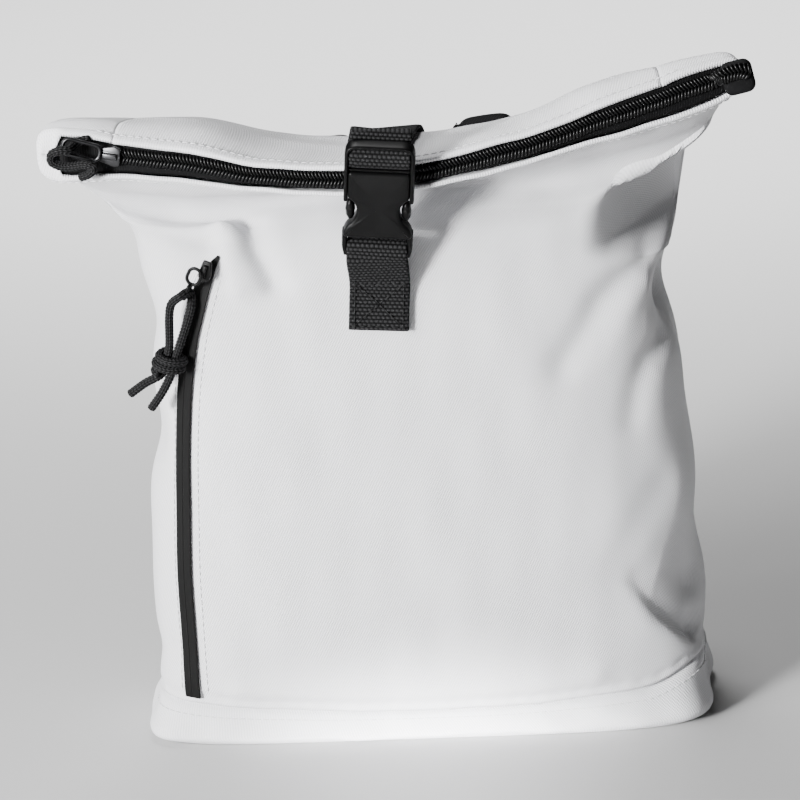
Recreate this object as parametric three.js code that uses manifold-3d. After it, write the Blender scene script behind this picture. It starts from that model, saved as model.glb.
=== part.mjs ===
// Mini roll-top backpack: a white cloth bag whose neck is folded forward over its front,
// closed by a zip along its mouth and held down by a webbing strap with a side-release buckle.
// Millimetres, +Z up, the front faces -Y, and the origin is the middle of the base on the floor.
import * as THREE from "three";
import { mergeVertices } from "three/addons/utils/BufferGeometryUtils.js";
import Module from "manifold-3d";

const wasm = await Module();
wasm.setup();

// Driving dimensions
const CLOTH = 1.6; // thickness of the coated cloth
const GAP = 0.3; // clearance between neighbouring pieces
const SEAM_SHARE = 0.31; // how far round from the front middle the front panel reaches, of one turn
const WEBBING = { width: 24.8, thick: 1.4 };
const ZIP = { tapeThick: 1.0, coilWidth: 7.6, coilHigh: 2.2, sink: 1.6 };
const POCKET_ZIP = { width: 7.0, thick: 0.9 };
const CORD = { diameter: 3.2, sides: 8 };
const STRAP_PAD = { width: 48, thick: 9 };

// The bag as sections from the base seam to the mouth. "along" is the height along the cloth, "lean" turns
// a section from level (0) to facing forward (90), frontY and frontZ place the middle of its front wall,
// depth is front to back and square is the corner fullness. The lifts raise its ends at front and back,
// tilt raises the right end and lowers the left, endBack swings both ends back, and shift moves it in x.
const COLUMNS = [
  "along", "lean", "frontY", "frontZ", "depth", "halfWidth", "square",
  "frontLift", "backLift", "tilt", "endBack", "shift",
];
const SECTIONS = [
  [14, 0, -43.5, 14, 87, 118, 4.2, 6, 6, 0, 0, -1],
  [26, 0, -46, 26, 92, 118.5, 3.8, 3, 3, 0, 0, -0.5],
  [50, 0, -48, 50.5, 96, 119, 3.5, 0, 0, 0, 0, 0],
  [95, 0, -49, 97, 97, 117, 3.4, 0, 0, 0, 0, 0],
  [140, 0, -48.5, 143, 95, 113, 3.4, 0, 0, 0, 0, 0],
  [180, 0, -47, 184, 91, 111.5, 3.4, 0, 0, 0, 0, 0],
  [208, 2, -45, 211, 86, 113.5, 3.4, 0, 1, 0, 0, 0],
  [226, 9, -41, 224, 71, 117.5, 3.2, -3, 6, 1, 0, 0],
  [244, 27, -33, 232, 46, 123.5, 3, -7, 16, 3, 1, 0],
  [262, 53, -25, 238, 24, 132, 3, -6, 28.5, 5, 4, -1],
  [278, 74, -30, 243, 16, 139.5, 3.2, 1, 34.5, 7.2, 8, -2],
  [293, 84, -44, 244.5, 14.5, 143.5, 3.8, 11, 36, 8.5, 13, -3],
  [306, 88, -57, 244.8, 14, 145, 4.6, 20, 29, 8.5, 18, -3],
].map(named);
const MOUTH = SECTIONS[SECTIONS.length - 1].along;
const BASE_SEAM = SECTIONS[0].along;
const LIFT = { from: 0.08, power: 1.5 }; // where along the half width a lift sets in, and how it grows

// The base as sections from the seam down to the flat that it stands on.
const BASE_SECTIONS = [
  [14, 0, -43.5, 13.4, 87, 118, 4.2, 6, 6, 0, 0, -1],
  [9, 0, -46, 8, 92, 122.5, 4.8, 2.5, 2.5, 0, 0, -2],
  [4, 0, -45.5, 3, 91, 123, 5, 0.5, 0.5, 0, 0, -2.5],
  [0, 0, -41, 0, 82, 118, 4.8, 0, 0, 0, 0, -2],
].map(named);

// Soft folds: straight valleys (depth below 0) and ridges on the cloth, from one point to another.
// "round" is the way round the bag from the front middle, to the right above 0, and "along" the height.
const FOLDS = [
  { name: "right gusset tuck", round: [96, 126], along: [203, 214], width: 15, depth: -12 },
  { name: "left gusset tuck", round: [-108, -130], along: [222, 226], width: 10, depth: -4 },
  { name: "right shoulder ridge", round: [78, 112], along: [212, 232], width: 8, depth: 3.5 },
  { name: "left pinch", round: [-70, -60], along: [228, 202], width: 8, depth: -4.5 },
  { name: "left pinch ridge", round: [-80, -76], along: [228, 206], width: 8, depth: 2.5 },
  { name: "right upper drag", round: [84, 62], along: [196, 158], width: 11, depth: -3.5 },
  { name: "right lower drag", round: [122, 84], along: [172, 122], width: 13, depth: -4.5 },
  { name: "right side waist", round: [118, 175], along: [182, 186], width: 16, depth: -4 },
  { name: "left side waist", round: [-118, -175], along: [182, 186], width: 14, depth: -3.5 },
  { name: "left lower waist", round: [-122, -170], along: [134, 128], width: 15, depth: -4 },
  { name: "right foot crease", round: [88, 114], along: [54, 26], width: 8, depth: -4 },
  { name: "left foot crease", round: [-116, -150], along: [42, 30], width: 9, depth: -1.5 },
  { name: "right ear hollow", round: [126, 143], along: [254, 284], width: 14, depth: -8 },
  { name: "right lower waist", round: [125, 170], along: [76, 80], width: 18, depth: -3 },
  { name: "left ear crown", round: [-188, -214], along: [264, 286], width: 20, depth: 4 },
  { name: "right ear crown", round: [186, 206], along: [264, 286], width: 18, depth: 3 },
];

// The way of the pocket's zip down the left of the front, as points on the cloth like those of the folds.
const POCKET_ZIP_WAY = [
  { along: 214, round: -77, width: 1.2 },
  { along: 207, round: -80.5, width: 5 },
  { along: 197, round: -84.5, width: 7 },
  { along: 180, round: -90, width: 7 },
  { along: 155, round: -95.5, width: 7 },
  { along: 125, round: -98.5, width: 7 },
  { along: 95, round: -100.5, width: 7 },
  { along: 65, round: -101.5, width: 7 },
  { along: 40, round: -101.5, width: 7 },
  { along: 18, round: -101, width: 7 },
];

const X_AXIS = new THREE.Vector3(1, 0, 0);
const Z_AXIS = new THREE.Vector3(0, 0, 1);
const FORWARD = new THREE.Vector3(0, -1, 0);

// Materials
const WHITE_CLOTH = new THREE.MeshStandardMaterial({ color: 0xe2e3e5, roughness: 0.62, metalness: 0 });
const BLACK_WEBBING = new THREE.MeshStandardMaterial({ color: 0x17171a, roughness: 0.85, metalness: 0 });
const BLACK_PLASTIC = new THREE.MeshStandardMaterial({ color: 0x1c1c1d, roughness: 0.45, metalness: 0 });
const BLACK_TAPE = new THREE.MeshStandardMaterial({ color: 0x1a1a1b, roughness: 0.8, metalness: 0 });
const BLACK_COIL = new THREE.MeshStandardMaterial({ color: 0x121213, roughness: 0.35, metalness: 0 });
const GUN_METAL = new THREE.MeshStandardMaterial({ color: 0x55565a, roughness: 0.35, metalness: 1 });
const BLACK_CORD = new THREE.MeshStandardMaterial({ color: 0x141415, roughness: 0.8, metalness: 0 });

// Smooth interpolation through table rows

// A table row as an object with the column names.
function named(row) {
  return Object.fromEntries(row.map((value, i) => [COLUMNS[i], value]));
}

// The value of every column between the rows, by cubic Hermite spans over "along".
function between(rows, at) {
  const last = rows.length - 1;
  const rising = rows[last].along > rows[0].along;
  let i = 0;
  while (i < last - 1 && (rising ? at > rows[i + 1].along : at < rows[i + 1].along)) i += 1;
  const span = rows[i + 1].along - rows[i].along;
  const t = THREE.MathUtils.clamp((at - rows[i].along) / span, 0, 1);
  const slope = (k, column) => {
    const low = rows[Math.max(k - 1, 0)];
    const high = rows[Math.min(k + 1, last)];
    return (high[column] - low[column]) / (high.along - low.along);
  };
  const h = { start: 2 * t ** 3 - 3 * t * t + 1, out: t ** 3 - 2 * t * t + t, in: t ** 3 - t * t };
  const value = {};
  for (const column of Object.keys(rows[0])) {
    const a = rows[i][column];
    const b = rows[i + 1][column];
    value[column] =
      h.start * a + (1 - h.start) * b + span * (h.out * slope(i, column) + h.in * slope(i + 1, column));
  }
  return value;
}

// One section's outline as points evenly spaced by arc length, from the back middle round by the left.
const OUTLINE_STEPS = 360;
const outlines = new Map();
function outlineOf(rows, at) {
  const key = `${rows === SECTIONS}:${at}`;
  if (!outlines.has(key)) {
    const row = between(rows, at);
    const raw = [];
    for (let i = 0; i <= OUTLINE_STEPS; i += 1) {
      const angle = (2 * Math.PI * i) / OUTLINE_STEPS;
      const power = 2 / row.square;
      const x = -row.halfWidth * Math.sign(Math.sin(angle)) * Math.abs(Math.sin(angle)) ** power;
      const share = Math.sign(Math.cos(angle)) * Math.abs(Math.cos(angle)) ** power;
      raw.push({ x, d: ((1 + share) / 2) * row.depth });
    }
    const lengths = [0];
    for (let i = 1; i <= OUTLINE_STEPS; i += 1) {
      lengths.push(lengths[i - 1] + Math.hypot(raw[i].x - raw[i - 1].x, raw[i].d - raw[i - 1].d));
    }
    outlines.set(key, { row, raw, lengths, girth: lengths[OUTLINE_STEPS] });
  }
  return outlines.get(key);
}

// A point of the bag's smooth surface: u is the share of one turn, 0.5 at the front middle.
function smoothPoint(rows, u, at) {
  const { row, raw, lengths, girth } = outlineOf(rows, at);
  const want = THREE.MathUtils.euclideanModulo(u, 1) * girth;
  let low = 0;
  let high = OUTLINE_STEPS;
  while (high - low > 1) {
    const mid = (low + high) >> 1;
    if (lengths[mid] <= want) low = mid;
    else high = mid;
  }
  const t = (want - lengths[low]) / Math.max(lengths[high] - lengths[low], 1e-9);
  const x = THREE.MathUtils.lerp(raw[low].x, raw[high].x, t);
  const d = THREE.MathUtils.lerp(raw[low].d, raw[high].d, t);
  const lean = THREE.MathUtils.degToRad(row.lean);
  const side = x / row.halfWidth;
  const rise = Math.max(0, (Math.abs(side) - LIFT.from) / (1 - LIFT.from)) ** LIFT.power;
  const lift = THREE.MathUtils.lerp(row.frontLift, row.backLift, d / row.depth) * rise;
  return new THREE.Vector3(
    x + row.shift,
    row.frontY + d * Math.cos(lean) + row.endBack * rise,
    row.frontZ + d * Math.sin(lean) + lift + row.tilt * side,
  );
}

// The outward normal of the smooth surface.
const PROBE = { u: 0.0015, along: 0.6 };
function smoothNormal(rows, u, at) {
  const ends = [rows[0].along, rows[rows.length - 1].along];
  const lowest = Math.min(...ends);
  const highest = Math.max(...ends);
  const round = smoothPoint(rows, u + PROBE.u, at).sub(smoothPoint(rows, u - PROBE.u, at));
  const up = smoothPoint(rows, u, Math.min(at + PROBE.along, highest));
  up.sub(smoothPoint(rows, u, Math.max(at - PROBE.along, lowest)));
  return round.cross(up).normalize();
}

// How far the folds move the cloth out (above 0) or in.
function foldAt(u, at) {
  const girth = outlineOf(SECTIONS, at).girth;
  const round = (THREE.MathUtils.euclideanModulo(u, 1) - 0.5) * girth;
  let sum = 0;
  for (const fold of FOLDS) {
    const run = { x: fold.round[1] - fold.round[0], y: fold.along[1] - fold.along[0] };
    const from = { x: round - fold.round[0], y: at - fold.along[0] };
    const t = THREE.MathUtils.clamp((from.x * run.x + from.y * run.y) / (run.x ** 2 + run.y ** 2), 0, 1);
    const away = Math.hypot(from.x - t * run.x, from.y - t * run.y);
    sum += fold.depth * Math.exp(-((away / fold.width) ** 2));
  }
  return sum;
}

// The bag's cloth: a point of its outer face, or of a layer this far inside (below 0: outside) it.
function clothPoint(u, at, inside = 0) {
  return smoothPoint(SECTIONS, u, at).addScaledVector(
    smoothNormal(SECTIONS, u, at),
    foldAt(u, at) - inside,
  );
}

function basePoint(u, at, inside = 0) {
  return smoothPoint(BASE_SECTIONS, u, at).addScaledVector(smoothNormal(BASE_SECTIONS, u, at), -inside);
}

// Solids from grids of points

// A closed mesh from an outer and an inner grid of points of the same size, joined round their edges.
function wallGeometry(outer, inner) {
  const rows = outer.length;
  const columns = outer[0].length;
  const position = [];
  const index = [];
  for (const layer of [outer, inner]) {
    for (const p of layer.flat()) position.push(p.x, p.y, p.z);
  }
  const id = (layer, i, j) => (layer * rows + i) * columns + j;
  const quad = (a, b, c, d) => index.push(a, b, c, a, c, d);
  for (let i = 0; i + 1 < rows; i += 1) {
    for (let j = 0; j + 1 < columns; j += 1) {
      quad(id(0, i, j), id(0, i, j + 1), id(0, i + 1, j + 1), id(0, i + 1, j));
      quad(id(1, i, j), id(1, i + 1, j), id(1, i + 1, j + 1), id(1, i, j + 1));
    }
    const end = columns - 1;
    quad(id(0, i, 0), id(0, i + 1, 0), id(1, i + 1, 0), id(1, i, 0));
    quad(id(0, i, end), id(1, i, end), id(1, i + 1, end), id(0, i + 1, end));
  }
  for (let j = 0; j + 1 < columns; j += 1) {
    const end = rows - 1;
    quad(id(0, 0, j), id(1, 0, j), id(1, 0, j + 1), id(0, 0, j + 1));
    quad(id(0, end, j), id(0, end, j + 1), id(1, end, j + 1), id(1, end, j));
  }
  return geometryOf(position, index);
}

function geometryOf(position, index) {
  const geometry = new THREE.BufferGeometry();
  geometry.setAttribute("position", new THREE.Float32BufferAttribute(position, 3));
  geometry.setIndex(index);
  return geometry;
}

// A grid of points from a function of two parameters.
function grid(us, ats, point) {
  return ats.map((at) => us.map((u) => point(u, at)));
}

function spread(from, to, steps) {
  return Array.from({ length: steps + 1 }, (_, i) => THREE.MathUtils.lerp(from, to, i / steps));
}

// A solid swept along stations, each with a place, the direction across and the outward normal.
// The profile is a closed convex outline of [across, out] pairs, counted as shares of width and thickness.
function sweep(stations, profile, width, thick) {
  const position = [];
  const index = [];
  const count = profile.length;
  for (const s of stations) {
    for (const [across, out] of profile) {
      const p = s.place
        .clone()
        .addScaledVector(s.across, across * (s.width ?? width))
        .addScaledVector(s.normal, out * (s.thick ?? thick));
      position.push(p.x, p.y, p.z);
    }
  }
  for (let i = 0; i + 1 < stations.length; i += 1) {
    for (let k = 0; k < count; k += 1) {
      const a = i * count + k;
      const b = i * count + ((k + 1) % count);
      index.push(a, b, b + count, a, b + count, a + count);
    }
  }
  const end = (stations.length - 1) * count;
  for (let k = 1; k + 1 < count; k += 1) {
    index.push(0, k + 1, k);
    index.push(end, end + k, end + k + 1);
  }
  return geometryOf(position, index);
}
const FLAT = [[-0.5, -0.5], [0.5, -0.5], [0.5, 0.5], [-0.5, 0.5]];
const RIDGE = [[-0.5, 0], [0.5, 0], [0.5, 0.4], [0.25, 1], [-0.25, 1], [-0.5, 0.4]];
const PADDED = [
  [-0.5, -0.12], [-0.42, -0.42], [-0.2, -0.5], [0.2, -0.5], [0.42, -0.42], [0.5, -0.12],
  [0.5, 0.12], [0.42, 0.42], [0.2, 0.5], [-0.2, 0.5], [-0.42, 0.42], [-0.5, 0.12],
];

// Stations along a line of points, with the width kept as near as can be to the direction "across",
// which may change from place to place. The normal is the way along turned up from the width.
function stationsAlong(points, acrossAt, more = () => ({})) {
  return points.map((place, i) => {
    const before = points[Math.max(i - 1, 0)];
    const after = points[Math.min(i + 1, points.length - 1)];
    const way = after.clone().sub(before).normalize();
    const across = acrossAt(place);
    const wide = across.clone().addScaledVector(way, -across.dot(way)).normalize();
    return { place, across: wide, normal: way.clone().cross(wide).normalize(), ...more(i) };
  });
}

// Points along a smooth curve through a few, about one step apart, or so many to each span of the few.
function smoothLine(points, step) {
  const curve = new THREE.CatmullRomCurve3(points, false, "centripetal");
  return curve.getSpacedPoints(Math.ceil(curve.getLength() / step));
}
function smoothSpans(points, perSpan) {
  const curve = new THREE.CatmullRomCurve3(points, false, "centripetal");
  return curve.getPoints(perSpan * (points.length - 1));
}

// Booleans
function solidOf(geometry) {
  const merged = mergeVertices(stripped(geometry), 1e-4);
  return new wasm.Manifold(
    new wasm.Mesh({
      numProp: 3,
      vertProperties: new Float32Array(merged.attributes.position.array),
      triVerts: new Uint32Array(merged.index.array),
    }),
  );
}

function stripped(geometry) {
  const bare = geometry.clone();
  for (const name of Object.keys(bare.attributes)) {
    if (name !== "position") bare.deleteAttribute(name);
  }
  return bare;
}

function geometryFrom(solid) {
  const mesh = solid.getMesh();
  return geometryOf(Array.from(mesh.vertProperties), Array.from(mesh.triVerts));
}

function cut(geometry, ...tools) {
  return geometryFrom(tools.reduce((whole, tool) => whole.subtract(solidOf(tool)), solidOf(geometry)));
}

function join(...pieces) {
  return geometryFrom(pieces.slice(1).reduce((sum, piece) => sum.add(solidOf(piece)), solidOf(pieces[0])));
}

// A box from its low and high corners.
function boxBetween(low, high) {
  const size = high.map((v, i) => v - low[i]);
  return new THREE.BoxGeometry(...size).translate(...low.map((v, i) => v + size[i] / 2));
}

// A flat outline as a plate whose middle plane is z = 0.
function plate(shape, thick, curveSegments = 4) {
  const geometry = new THREE.ExtrudeGeometry(shape, { depth: thick, bevelEnabled: false, curveSegments });
  return geometry.translate(0, 0, -thick / 2);
}

// A rectangle with round corners as a closed path.
function roundedRectangle(path, low, high, radius) {
  const [x0, y0] = low;
  const [x1, y1] = high;
  path.moveTo(x0 + radius, y0);
  path.lineTo(x1 - radius, y0);
  path.absarc(x1 - radius, y0 + radius, radius, -Math.PI / 2, 0);
  path.lineTo(x1, y1 - radius);
  path.absarc(x1 - radius, y1 - radius, radius, 0, Math.PI / 2);
  path.lineTo(x0 + radius, y1);
  path.absarc(x0 + radius, y1 - radius, radius, Math.PI / 2, Math.PI);
  path.lineTo(x0, y0 + radius);
  path.absarc(x0 + radius, y0 + radius, radius, Math.PI, 1.5 * Math.PI);
  return path;
}

// A round tube along a smooth curve through points.
function tube(points, diameter, sides, step) {
  const curve = new THREE.CatmullRomCurve3(points, false, "centripetal");
  const section = new THREE.Shape();
  for (let i = 0; i < sides; i += 1) {
    const angle = (2 * Math.PI * i) / sides;
    const at = [(diameter / 2) * Math.cos(angle), (diameter / 2) * Math.sin(angle)];
    if (i === 0) section.moveTo(...at);
    else section.lineTo(...at);
  }
  const steps = Math.max(2, Math.ceil(curve.getLength() / step));
  return new THREE.ExtrudeGeometry(section, { steps, extrudePath: curve, bevelEnabled: false });
}

const part = new THREE.Group();
part.name = "mini_roll_top_backpack";
function add(name, geometry, material) {
  const mesh = new THREE.Mesh(geometry, material.clone());
  mesh.name = name;
  part.add(mesh);
}

// The cloth panels: the front wraps both sides, the back closes the tube, and the base closes it below.
const girthAtSeam = outlineOf(SECTIONS, BASE_SEAM).girth;
const seamGap = GAP / girthAtSeam;
const panelHeights = [
  ...spread(BASE_SEAM + GAP, 50, 3),
  ...spread(50, 180, 6).slice(1),
  ...spread(180, 226, 5).slice(1),
  ...spread(226, MOUTH, 10).slice(1),
];
function panel(fromShare, toShare, steps) {
  const us = spread(fromShare, toShare, steps);
  return wallGeometry(
    grid(us, panelHeights, (u, at) => clothPoint(u, at)),
    grid(us, panelHeights, (u, at) => clothPoint(u, at, CLOTH)),
  );
}
add("front_panel", panel(0.5 - SEAM_SHARE, 0.5 + SEAM_SHARE, 42), WHITE_CLOTH);
add("back_panel", panel(0.5 + SEAM_SHARE + seamGap, 1.5 - SEAM_SHARE - seamGap, 16), WHITE_CLOTH);

// The base: a dish with a flat floor, from rings of points down the outside and up the inside.
function dish() {
  const sides = 44;
  const us = spread(0, 1, sides).slice(0, sides);
  const heights = BASE_SECTIONS.map((row) => row.along);
  const outside = heights.map((at) => us.map((u) => basePoint(u, at)));
  const inside = heights.map((at) => us.map((u) => basePoint(u, at, CLOTH)));
  for (const p of outside.at(-1)) p.z = 0;
  for (const p of inside.at(-1)) p.z = CLOTH;
  const rings = [...outside, ...inside.reverse()];
  const index = [];
  const floorRing = heights.length - 1;
  for (let k = 0; k < rings.length; k += 1) {
    if (k === floorRing) continue;
    const next = (k + 1) % rings.length;
    for (let j = 0; j < sides; j += 1) {
      const a = k * sides + j;
      const b = k * sides + ((j + 1) % sides);
      const c = next * sides + ((j + 1) % sides);
      const d = next * sides + j;
      index.push(a, c, b, a, d, c);
    }
  }
  const under = floorRing * sides;
  const upper = under + sides;
  for (const [a, b, c] of floorTriangles(sides)) {
    index.push(under + a, under + c, under + b, upper + a, upper + b, upper + c);
  }
  return geometryOf(rings.flat().flatMap((p) => [p.x, p.y, p.z]), index);
}

// A convex ring of so many points filled by one large triangle, with a fan on each of its three sides.
function floorTriangles(sides) {
  const corners = [0, Math.round(sides * 0.38), Math.round(sides * 0.62)];
  const triangles = [corners];
  corners.forEach((from, i) => {
    const to = corners[i + 1] ?? sides;
    for (let j = from + 1; j < to; j += 1) triangles.push([from, j, (j + 1) % sides]);
  });
  return triangles;
}
add("base_panel", dish(), WHITE_CLOTH);

// The share of a turn at a distance round the cloth from the front middle, or from the back middle.
function fromFront(round, at) {
  return 0.5 + round / outlineOf(SECTIONS, at).girth;
}
function fromBack(x, at) {
  return -x / outlineOf(SECTIONS, at).girth;
}

// Where something stands on a surface: a place with the ways right, up and out there.
function seat(place, right, up) {
  const x = right.clone().normalize();
  const out = x.clone().cross(up).normalize();
  return { place, right: x, up: out.clone().cross(x), out };
}
function onSeat({ place, right, up, out }, geometry, ...turns) {
  for (const turn of turns) geometry.applyMatrix4(turn);
  geometry.applyMatrix4(new THREE.Matrix4().makeBasis(right, up, out));
  return geometry.translate(place.x, place.y, place.z);
}
function lifted(spot, out, right = 0, up = 0) {
  const place = spot.place.clone().addScaledVector(spot.out, out);
  place.addScaledVector(spot.right, right).addScaledVector(spot.up, up);
  return { ...spot, place };
}
function turned(degrees) {
  return new THREE.Matrix4().makeRotationZ(THREE.MathUtils.degToRad(degrees));
}
function tipped(degrees) {
  return new THREE.Matrix4().makeRotationX(THREE.MathUtils.degToRad(degrees));
}

// The zip in the mouth: its tape fills the mouth between the hems, and the coil runs along the middle.
// A place there is given by its way round from the middle to the right, as a share of one turn.
const ZIP_END = 0.23;
const zipAlong = MOUTH - ZIP.sink;
function mouthPoint(w, share) {
  const low = clothPoint(0.5 + w, zipAlong, CLOTH + 3.5 * GAP);
  const high = clothPoint(-w, zipAlong, CLOTH + 3.5 * GAP);
  return low.lerp(high, share);
}
function mouthSeat(w, share = 0.5) {
  const step = 0.004;
  const right = mouthPoint(w + step, share).sub(mouthPoint(w - step, share));
  return seat(mouthPoint(w, share), right, mouthPoint(w, 1).sub(mouthPoint(w, 0)));
}
const tapeStations = spread(-ZIP_END, ZIP_END, 30);
const TAPE_ROWS = [0, 0.5, 1];
add(
  "top_zip_tape",
  wallGeometry(
    grid(tapeStations, TAPE_ROWS, (w, share) => mouthPoint(w, share)),
    grid(tapeStations, TAPE_ROWS, (w, share) => lifted(mouthSeat(w, share), -ZIP.tapeThick).place),
  ),
  BLACK_TAPE,
);
const SLIDER_AT = -0.189;
const coilStations = spread(SLIDER_AT + 0.0085, 0.229, 30).map((w) => {
  const spot = lifted(mouthSeat(w), GAP + 0.1);
  return { place: spot.place, across: spot.up, normal: spot.out };
});
add("top_zip_coil", sweep(coilStations, RIDGE, ZIP.coilWidth, ZIP.coilHigh), BLACK_COIL);

// A zip slider lying with its narrow end to the left, and a wire puller reaching to the right.
function sliderBody(long, wide, high) {
  const shape = new THREE.Shape();
  shape.moveTo(-long / 2, -wide * 0.32);
  shape.lineTo(long * 0.2, -wide / 2);
  shape.lineTo(long / 2, -wide * 0.42);
  shape.lineTo(long / 2, wide * 0.42);
  shape.lineTo(long * 0.2, wide / 2);
  shape.lineTo(-long / 2, wide * 0.32);
  shape.closePath();
  const body = plate(shape, high).translate(0, 0, high / 2);
  const bridge = boxBetween([-long * 0.3, -wide * 0.14, high - 0.2], [long * 0.38, wide * 0.14, high + 1.6]);
  return join(body, bridge);
}
function wirePuller(long, wide, wire) {
  const shape = roundedRectangle(new THREE.Shape(), [0, -wide / 2], [long, wide / 2], wide * 0.42);
  shape.holes.push(
    roundedRectangle(new THREE.Path(), [wire, -wide / 2 + wire], [long - wire, wide / 2 - wire], wide * 0.2),
  );
  return plate(shape, wire, 2);
}

// The slider at the zip's left end, with its puller and a cord through it.
const sliderSeat = mouthSeat(SLIDER_AT);
add("top_zip_slider", onSeat(lifted(sliderSeat, GAP + 0.1), sliderBody(9, 8.6, 3)), GUN_METAL);
// The cord goes through the puller's far end from behind, turns back under it and ends in a short tail.
// Its places are counted from the middle of that end: right, up and out.
const pullerSeat = { ...lifted(sliderSeat, 4.2, -5.2, 0.6), right: X_AXIS, up: Z_AXIS, out: FORWARD };
add("top_zip_puller", onSeat(pullerSeat, wirePuller(17, 8.2, 1.6), turned(163)), GUN_METAL);
const eyeOfTop = lifted(pullerSeat, 0, -11.9, 3.6);
const topCordWay = [
  [7, 2.4, -2.9], [4, 2, -3.2], [1.2, 0.8, -2.8], [0, 0, 0], [-1.4, -0.4, 3.2], [-6.5, -0.4, 4],
  [-11.4, -2.2, 2.6], [-11.8, -5.4, 1.6], [-7.2, -7.2, 1.4], [-0.4, -7, 2], [5.6, -6.4, 3.2], [9, -7.8, 3.6],
  [6.4, -10.6, 3.2], [2, -12.2, 2.2],
].map(([right, up, out]) => lifted(eyeOfTop, out, right, up).place);
add("top_cord", tube(topCordWay, CORD.diameter, CORD.sides, 2.6), BLACK_CORD);

// The end of the zip's tape, folded over beyond the cloth at the right.
const foldedTape = roundedRectangle(new THREE.Shape(), [-6.5, -6.5], [6.5, 7.5], 3.6);
const tapeEndSeat = { ...lifted(mouthSeat(0.243), 2.5, 3.8, -3.2), right: X_AXIS, up: Z_AXIS, out: FORWARD };
add("top_zip_end", onSeat(tapeEndSeat, plate(foldedTape, 4), turned(12)), BLACK_TAPE);

// The pocket's zip down the left of the front: a flat strip on the cloth, with slider, puller and cord.
const pocketOut = 2.5 * GAP + POCKET_ZIP.thick / 2;
function frontPoint(round, along, out) {
  return clothPoint(fromFront(round, along), along, -out);
}
const pocketStations = POCKET_ZIP_WAY.map(({ along, round, width }, i) => {
  const next = POCKET_ZIP_WAY[Math.min(i + 1, POCKET_ZIP_WAY.length - 1)];
  const last = POCKET_ZIP_WAY[Math.max(i - 1, 0)];
  const way = frontPoint(next.round, next.along, pocketOut);
  way.sub(frontPoint(last.round, last.along, pocketOut)).normalize();
  const across = smoothNormal(SECTIONS, fromFront(round, along), along).cross(way).normalize();
  const normal = way.clone().cross(across).normalize();
  return { place: frontPoint(round, along, pocketOut), across, normal, width };
});
add("side_zip_tape", sweep(pocketStations, FLAT, POCKET_ZIP.width, POCKET_ZIP.thick), BLACK_TAPE);

const [, , zipTop, zipBelow] = pocketStations;
const zipWay = zipBelow.place.clone().sub(zipTop.place);
const pocketSeat = seat(zipTop.place.clone().addScaledVector(zipWay, -0.42), zipWay, zipTop.across);
const pocketSliderSeat = lifted(pocketSeat, POCKET_ZIP.thick / 2 + GAP + 0.8);
add("side_zip_slider", onSeat(pocketSliderSeat, sliderBody(8, 5.6, 1.6)), BLACK_PLASTIC);
const pocketPullerSeat = lifted(pocketSliderSeat, 4.3, 2, -1.9);
add("side_zip_puller", onSeat(pocketPullerSeat, wirePuller(18.6, 7.6, 1.5), turned(-10)), BLACK_PLASTIC);

// The cord on the puller is one piece: a tail, through the knot, round the puller's end, back through the
// knot and the other tail. The knot is drawn as a collar of wraps round the two strands.
const PULLER_ANGLE = THREE.MathUtils.degToRad(-10);
const eye = lifted(pocketPullerSeat, 0, 14.6 * Math.cos(PULLER_ANGLE), 14.6 * Math.sin(PULLER_ANGLE));
const KNOT = { wide: 14.5, deep: 11.5, long: 11, hole: [7.8, 4.2], strands: 3.7 };
const knotAxis = new THREE.Vector3(0.35, 0, 0.94).normalize();
const knotSeat = seat(new THREE.Vector3(-99.6, -43.9, 174), new THREE.Vector3(0.94, 0, -0.35), knotAxis);
function strand(side, height) {
  return lifted(knotSeat, 0, (side * KNOT.strands) / 2, height).place;
}
const sideCordWay = [
  new THREE.Vector3(-117.5, -42, 160.5),
  new THREE.Vector3(-110.5, -43, 165.4),
  strand(-1, -5.5),
  strand(-1, 0),
  strand(-1, 5.5),
  lifted(eye, 3, 6.5, -4.6).place,
  lifted(eye, 3.6, 1.6, -1.4).place,
  lifted(eye, 0, 0, 0).place,
  lifted(eye, -2.8, 1.2, 0.8).place,
  lifted(eye, -2, 6.2, 2.4).place,
  strand(1, 5.5),
  strand(1, 0),
  strand(1, -5.5),
  new THREE.Vector3(-103.6, -44, 161.4),
  new THREE.Vector3(-109, -43, 154),
];
add("side_cord", tube(sideCordWay, CORD.diameter, CORD.sides, 2.8), BLACK_CORD);

// A collar: rings of an ellipse from [height, swell] pairs, with a straight hole of four sides.
function collar({ wide, deep, long, hole }) {
  const sides = 16;
  const swell = [[-0.5, 0.74], [-0.3, 0.95], [0, 1], [0.3, 0.95], [0.5, 0.74]];
  const rings = swell.map(([height, share]) =>
    Array.from({ length: sides }, (_, j) => {
      const angle = (2 * Math.PI * (j + 0.5)) / sides;
      return [(wide / 2) * share * Math.cos(angle), height * long, (deep / 2) * share * Math.sin(angle)];
    }),
  );
  const holeRing = (height) =>
    Array.from({ length: sides }, (_, j) => {
      const angle = (2 * Math.PI * (j + 0.5)) / sides;
      const stretch = 1 / Math.max(Math.abs(Math.cos(angle)), Math.abs(Math.sin(angle)));
      const at = [(hole[0] / 2) * Math.cos(angle) * stretch, (hole[1] / 2) * Math.sin(angle) * stretch];
      return [at[0], height * long, at[1]];
    });
  rings.push(holeRing(0.5), holeRing(-0.5));
  const index = [];
  for (let k = 0; k < rings.length; k += 1) {
    for (let j = 0; j < sides; j += 1) {
      const a = k * sides + j;
      const b = k * sides + ((j + 1) % sides);
      const c = ((k + 1) % rings.length) * sides + ((j + 1) % sides);
      const d = ((k + 1) % rings.length) * sides + j;
      index.push(a, c, b, a, d, c);
    }
  }
  return geometryOf(rings.flat(2), index);
}
add("side_cord_knot", onSeat(knotSeat, collar(KNOT)), BLACK_CORD);

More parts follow.
